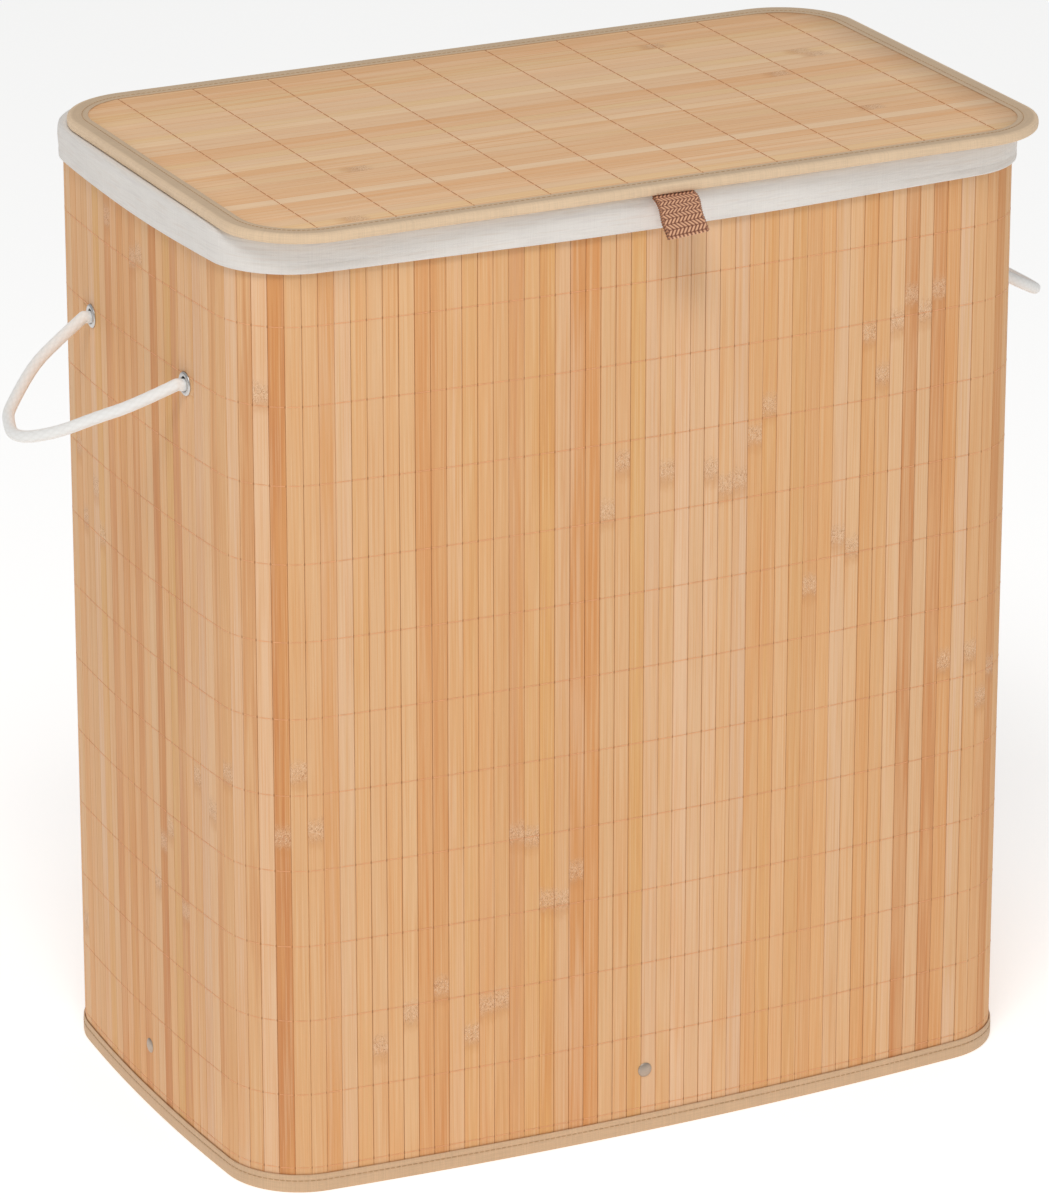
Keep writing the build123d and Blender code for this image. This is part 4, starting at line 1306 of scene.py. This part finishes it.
def herring(x, v):
    """Herringbone: rows across the tab, each row's strokes leaning the other way from its neighbours'."""
    band = 3.9
    k = np.floor((v + 200 * band) / band)
    sgn = np.where(k % 2 == 0, 1.0, -1.0)
    local = (v + 200 * band) % band
    d = (x + sgn * (local - band / 2) * 0.80) / 2.6
    w = d - np.floor(d)
    h = np.clip(np.sin(w * math.pi), 0, 1)
    fine = 0.5 + 0.5 * np.sin(2 * math.pi * (v * 1.4 + x * 0.3 * sgn))
    seam = np.clip(np.minimum(local, band - local) / 0.55, 0, 1)
    return h * (0.35 + 0.65 * seam), fine, w


Xg, Vg = np.meshgrid(wx, run_t)
H, Fi, Wf = herring(Xg, Vg)
edge_in = np.clip((TAB_W / 2 - np.abs(Xg)) / 0.7, 0, 1)
half_t = TAB_L / 2 * np.sqrt(np.clip(1 - (1 - edge_in) ** 2, 0.02, 1))
# painted highlight on the raised strokes and painted shade in the gaps between them, both following the relief H
tab_painted_highlight, tab_painted_gap_shade = np.array(lin(238, 182, 143)), np.array(lin(124, 72, 50))
mixv = np.clip((H - 0.40) * 1.9 + Fi * 0.08, 0, 1)[..., None]
toneg = tab_painted_gap_shade * (1 - mixv) + tab_painted_highlight * mixv
# selvedge: its own darker colour, painted lighter where each edge loop stands out and darker between loops (painted
# highlight and shade, following beat)
sel = np.array(lin(176, 122, 90))
selv = (np.abs(Xg) > TAB_W / 2 - 1.0)[..., None]
beat = 0.5 + 0.5 * np.sin(2 * math.pi * Vg / 2.05)
toneg = np.where(selv, sel * (0.45 + 0.85 * beat[..., None]), toneg)


def face(sign):
    d = sign * (half_t - 0.30 + 0.42 * H * edge_in)
    G = np.empty(Xg.shape + (3,))
    G[..., 0] = TAB_X + Xg + np.sign(Xg) * (1 - edge_in) * (0.55 * beat - 0.2)
    G[..., 1] = line[:, None, 0] + ln[:, None, 0] * d
    G[..., 2] = line[:, None, 1] + ln[:, None, 1] * d
    # hangs a little askew: the free end towards -X, the right edge drawn up
    down = smooth(-line[:, 0], 180.0, 200.0)
    G[..., 0] -= (4.2 * down)[:, None]
    G[..., 1] += 0.60 * (0.065 * Xg + 2.3) * down[:, None]
    G[..., 2] += 0.80 * (0.065 * Xg + 2.3) * down[:, None]
    return G


Gt, Gb = face(1), face(-1)
loopG = np.concatenate([Gt, Gb[:, ::-1]], 1)
cl = np.stack([Xg, Vg, np.zeros_like(Xg)], -1)
clg = np.concatenate([cl, (cl + [0, 0, 9.0])[:, ::-1]], 1)
tn = np.concatenate([toneg, toneg[:, ::-1]], 1)
b = Build()
b.grid(loopG, wrap_v=True, caps=True, cloth=clg, tone=tn, flip=True)
tab = b.make("tab_loop", WEBBING)
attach(tab, "lid"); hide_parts("pull_tab")

# each tape's area against a flat tape of the given width and length: the flat width is once round the profile's outer
# face
for o, width, length, rests in ((bottom_tape, 0.0292, 1.62, ["front_bamboo"]), (top_tape, 0.0310, 1.62, ["front_bamboo"]),
                                (lid_tape, 0.0320, 1.65, ["lid_bamboo"])):
    print(o.name, "area ratio", round(mesh_area(o) / 2 / (width * length), 3))

# ---- camera ------------------------------------------------------------------
A_, B_ = 0.4565, 0.3591
cn = Vector((math.sin(A_) * math.cos(B_), math.cos(A_) * math.cos(B_), -math.sin(B_)))
cr = Vector((math.cos(A_), -math.sin(A_), 0))
cu_ = Vector((math.sin(A_) * math.sin(B_), math.cos(A_) * math.sin(B_), math.cos(B_)))
cam = bpy.data.cameras.new("camera")
cam.sensor_width = 36
cam.lens = 195
cam.clip_end = 60
co = bpy.data.objects.new("camera", cam)
bpy.context.scene.collection.objects.link(co)
mw = Matrix((cr, cu_, -cn)).transposed().to_4x4()
mw.translation = Vector((-1.706185, -3.457479, 1.744127))
co.matrix_world = mw
bpy.context.scene.camera = co

# ---- floor, world, lights ----------------------------------------------------
bpy.ops.mesh.primitive_plane_add(size=30, location=(0, 0, 0))
floor = bpy.context.object
floor.name = "floor"
fm = Mat("floor")
floor.data.materials.append(fm.set(lin(250, 250, 249), 0.9, Specular_IOR_Level=0.05,
                                    Emission_Color=(1.0, 1.0, 1.0, 1.0), Emission_Strength=0.42))

world = bpy.data.worlds.new("studio")
bpy.context.scene.world = world
world.use_nodes = True
world.node_tree.nodes["Background"].inputs[0].default_value = (1.0, 1.0, 1.0, 1.0)
world.node_tree.nodes["Background"].inputs[1].default_value = 0.43


def area(name, loc, look, size, power, color=(1, 1, 1)):
    l = bpy.data.lights.new(name, "AREA")
    l.shape = "RECTANGLE"
    l.size, l.size_y = size
    l.energy = power
    l.color = color
    o = bpy.data.objects.new(name, l)
    bpy.context.scene.collection.objects.link(o)
    o.location = loc
    o.rotation_euler = (Vector(look) - Vector(loc)).to_track_quat("-Z", "Y").to_euler()
    return o


area("key", (-0.98, -1.60, 3.12), (0, 0, 0.40), (1.1, 0.9), 41)
area("fill", (2.6, -1.8, 1.2), (0, 0, 0.3), (1.8, 1.8), 1)

bpy.context.scene.view_settings.view_transform = "Standard"
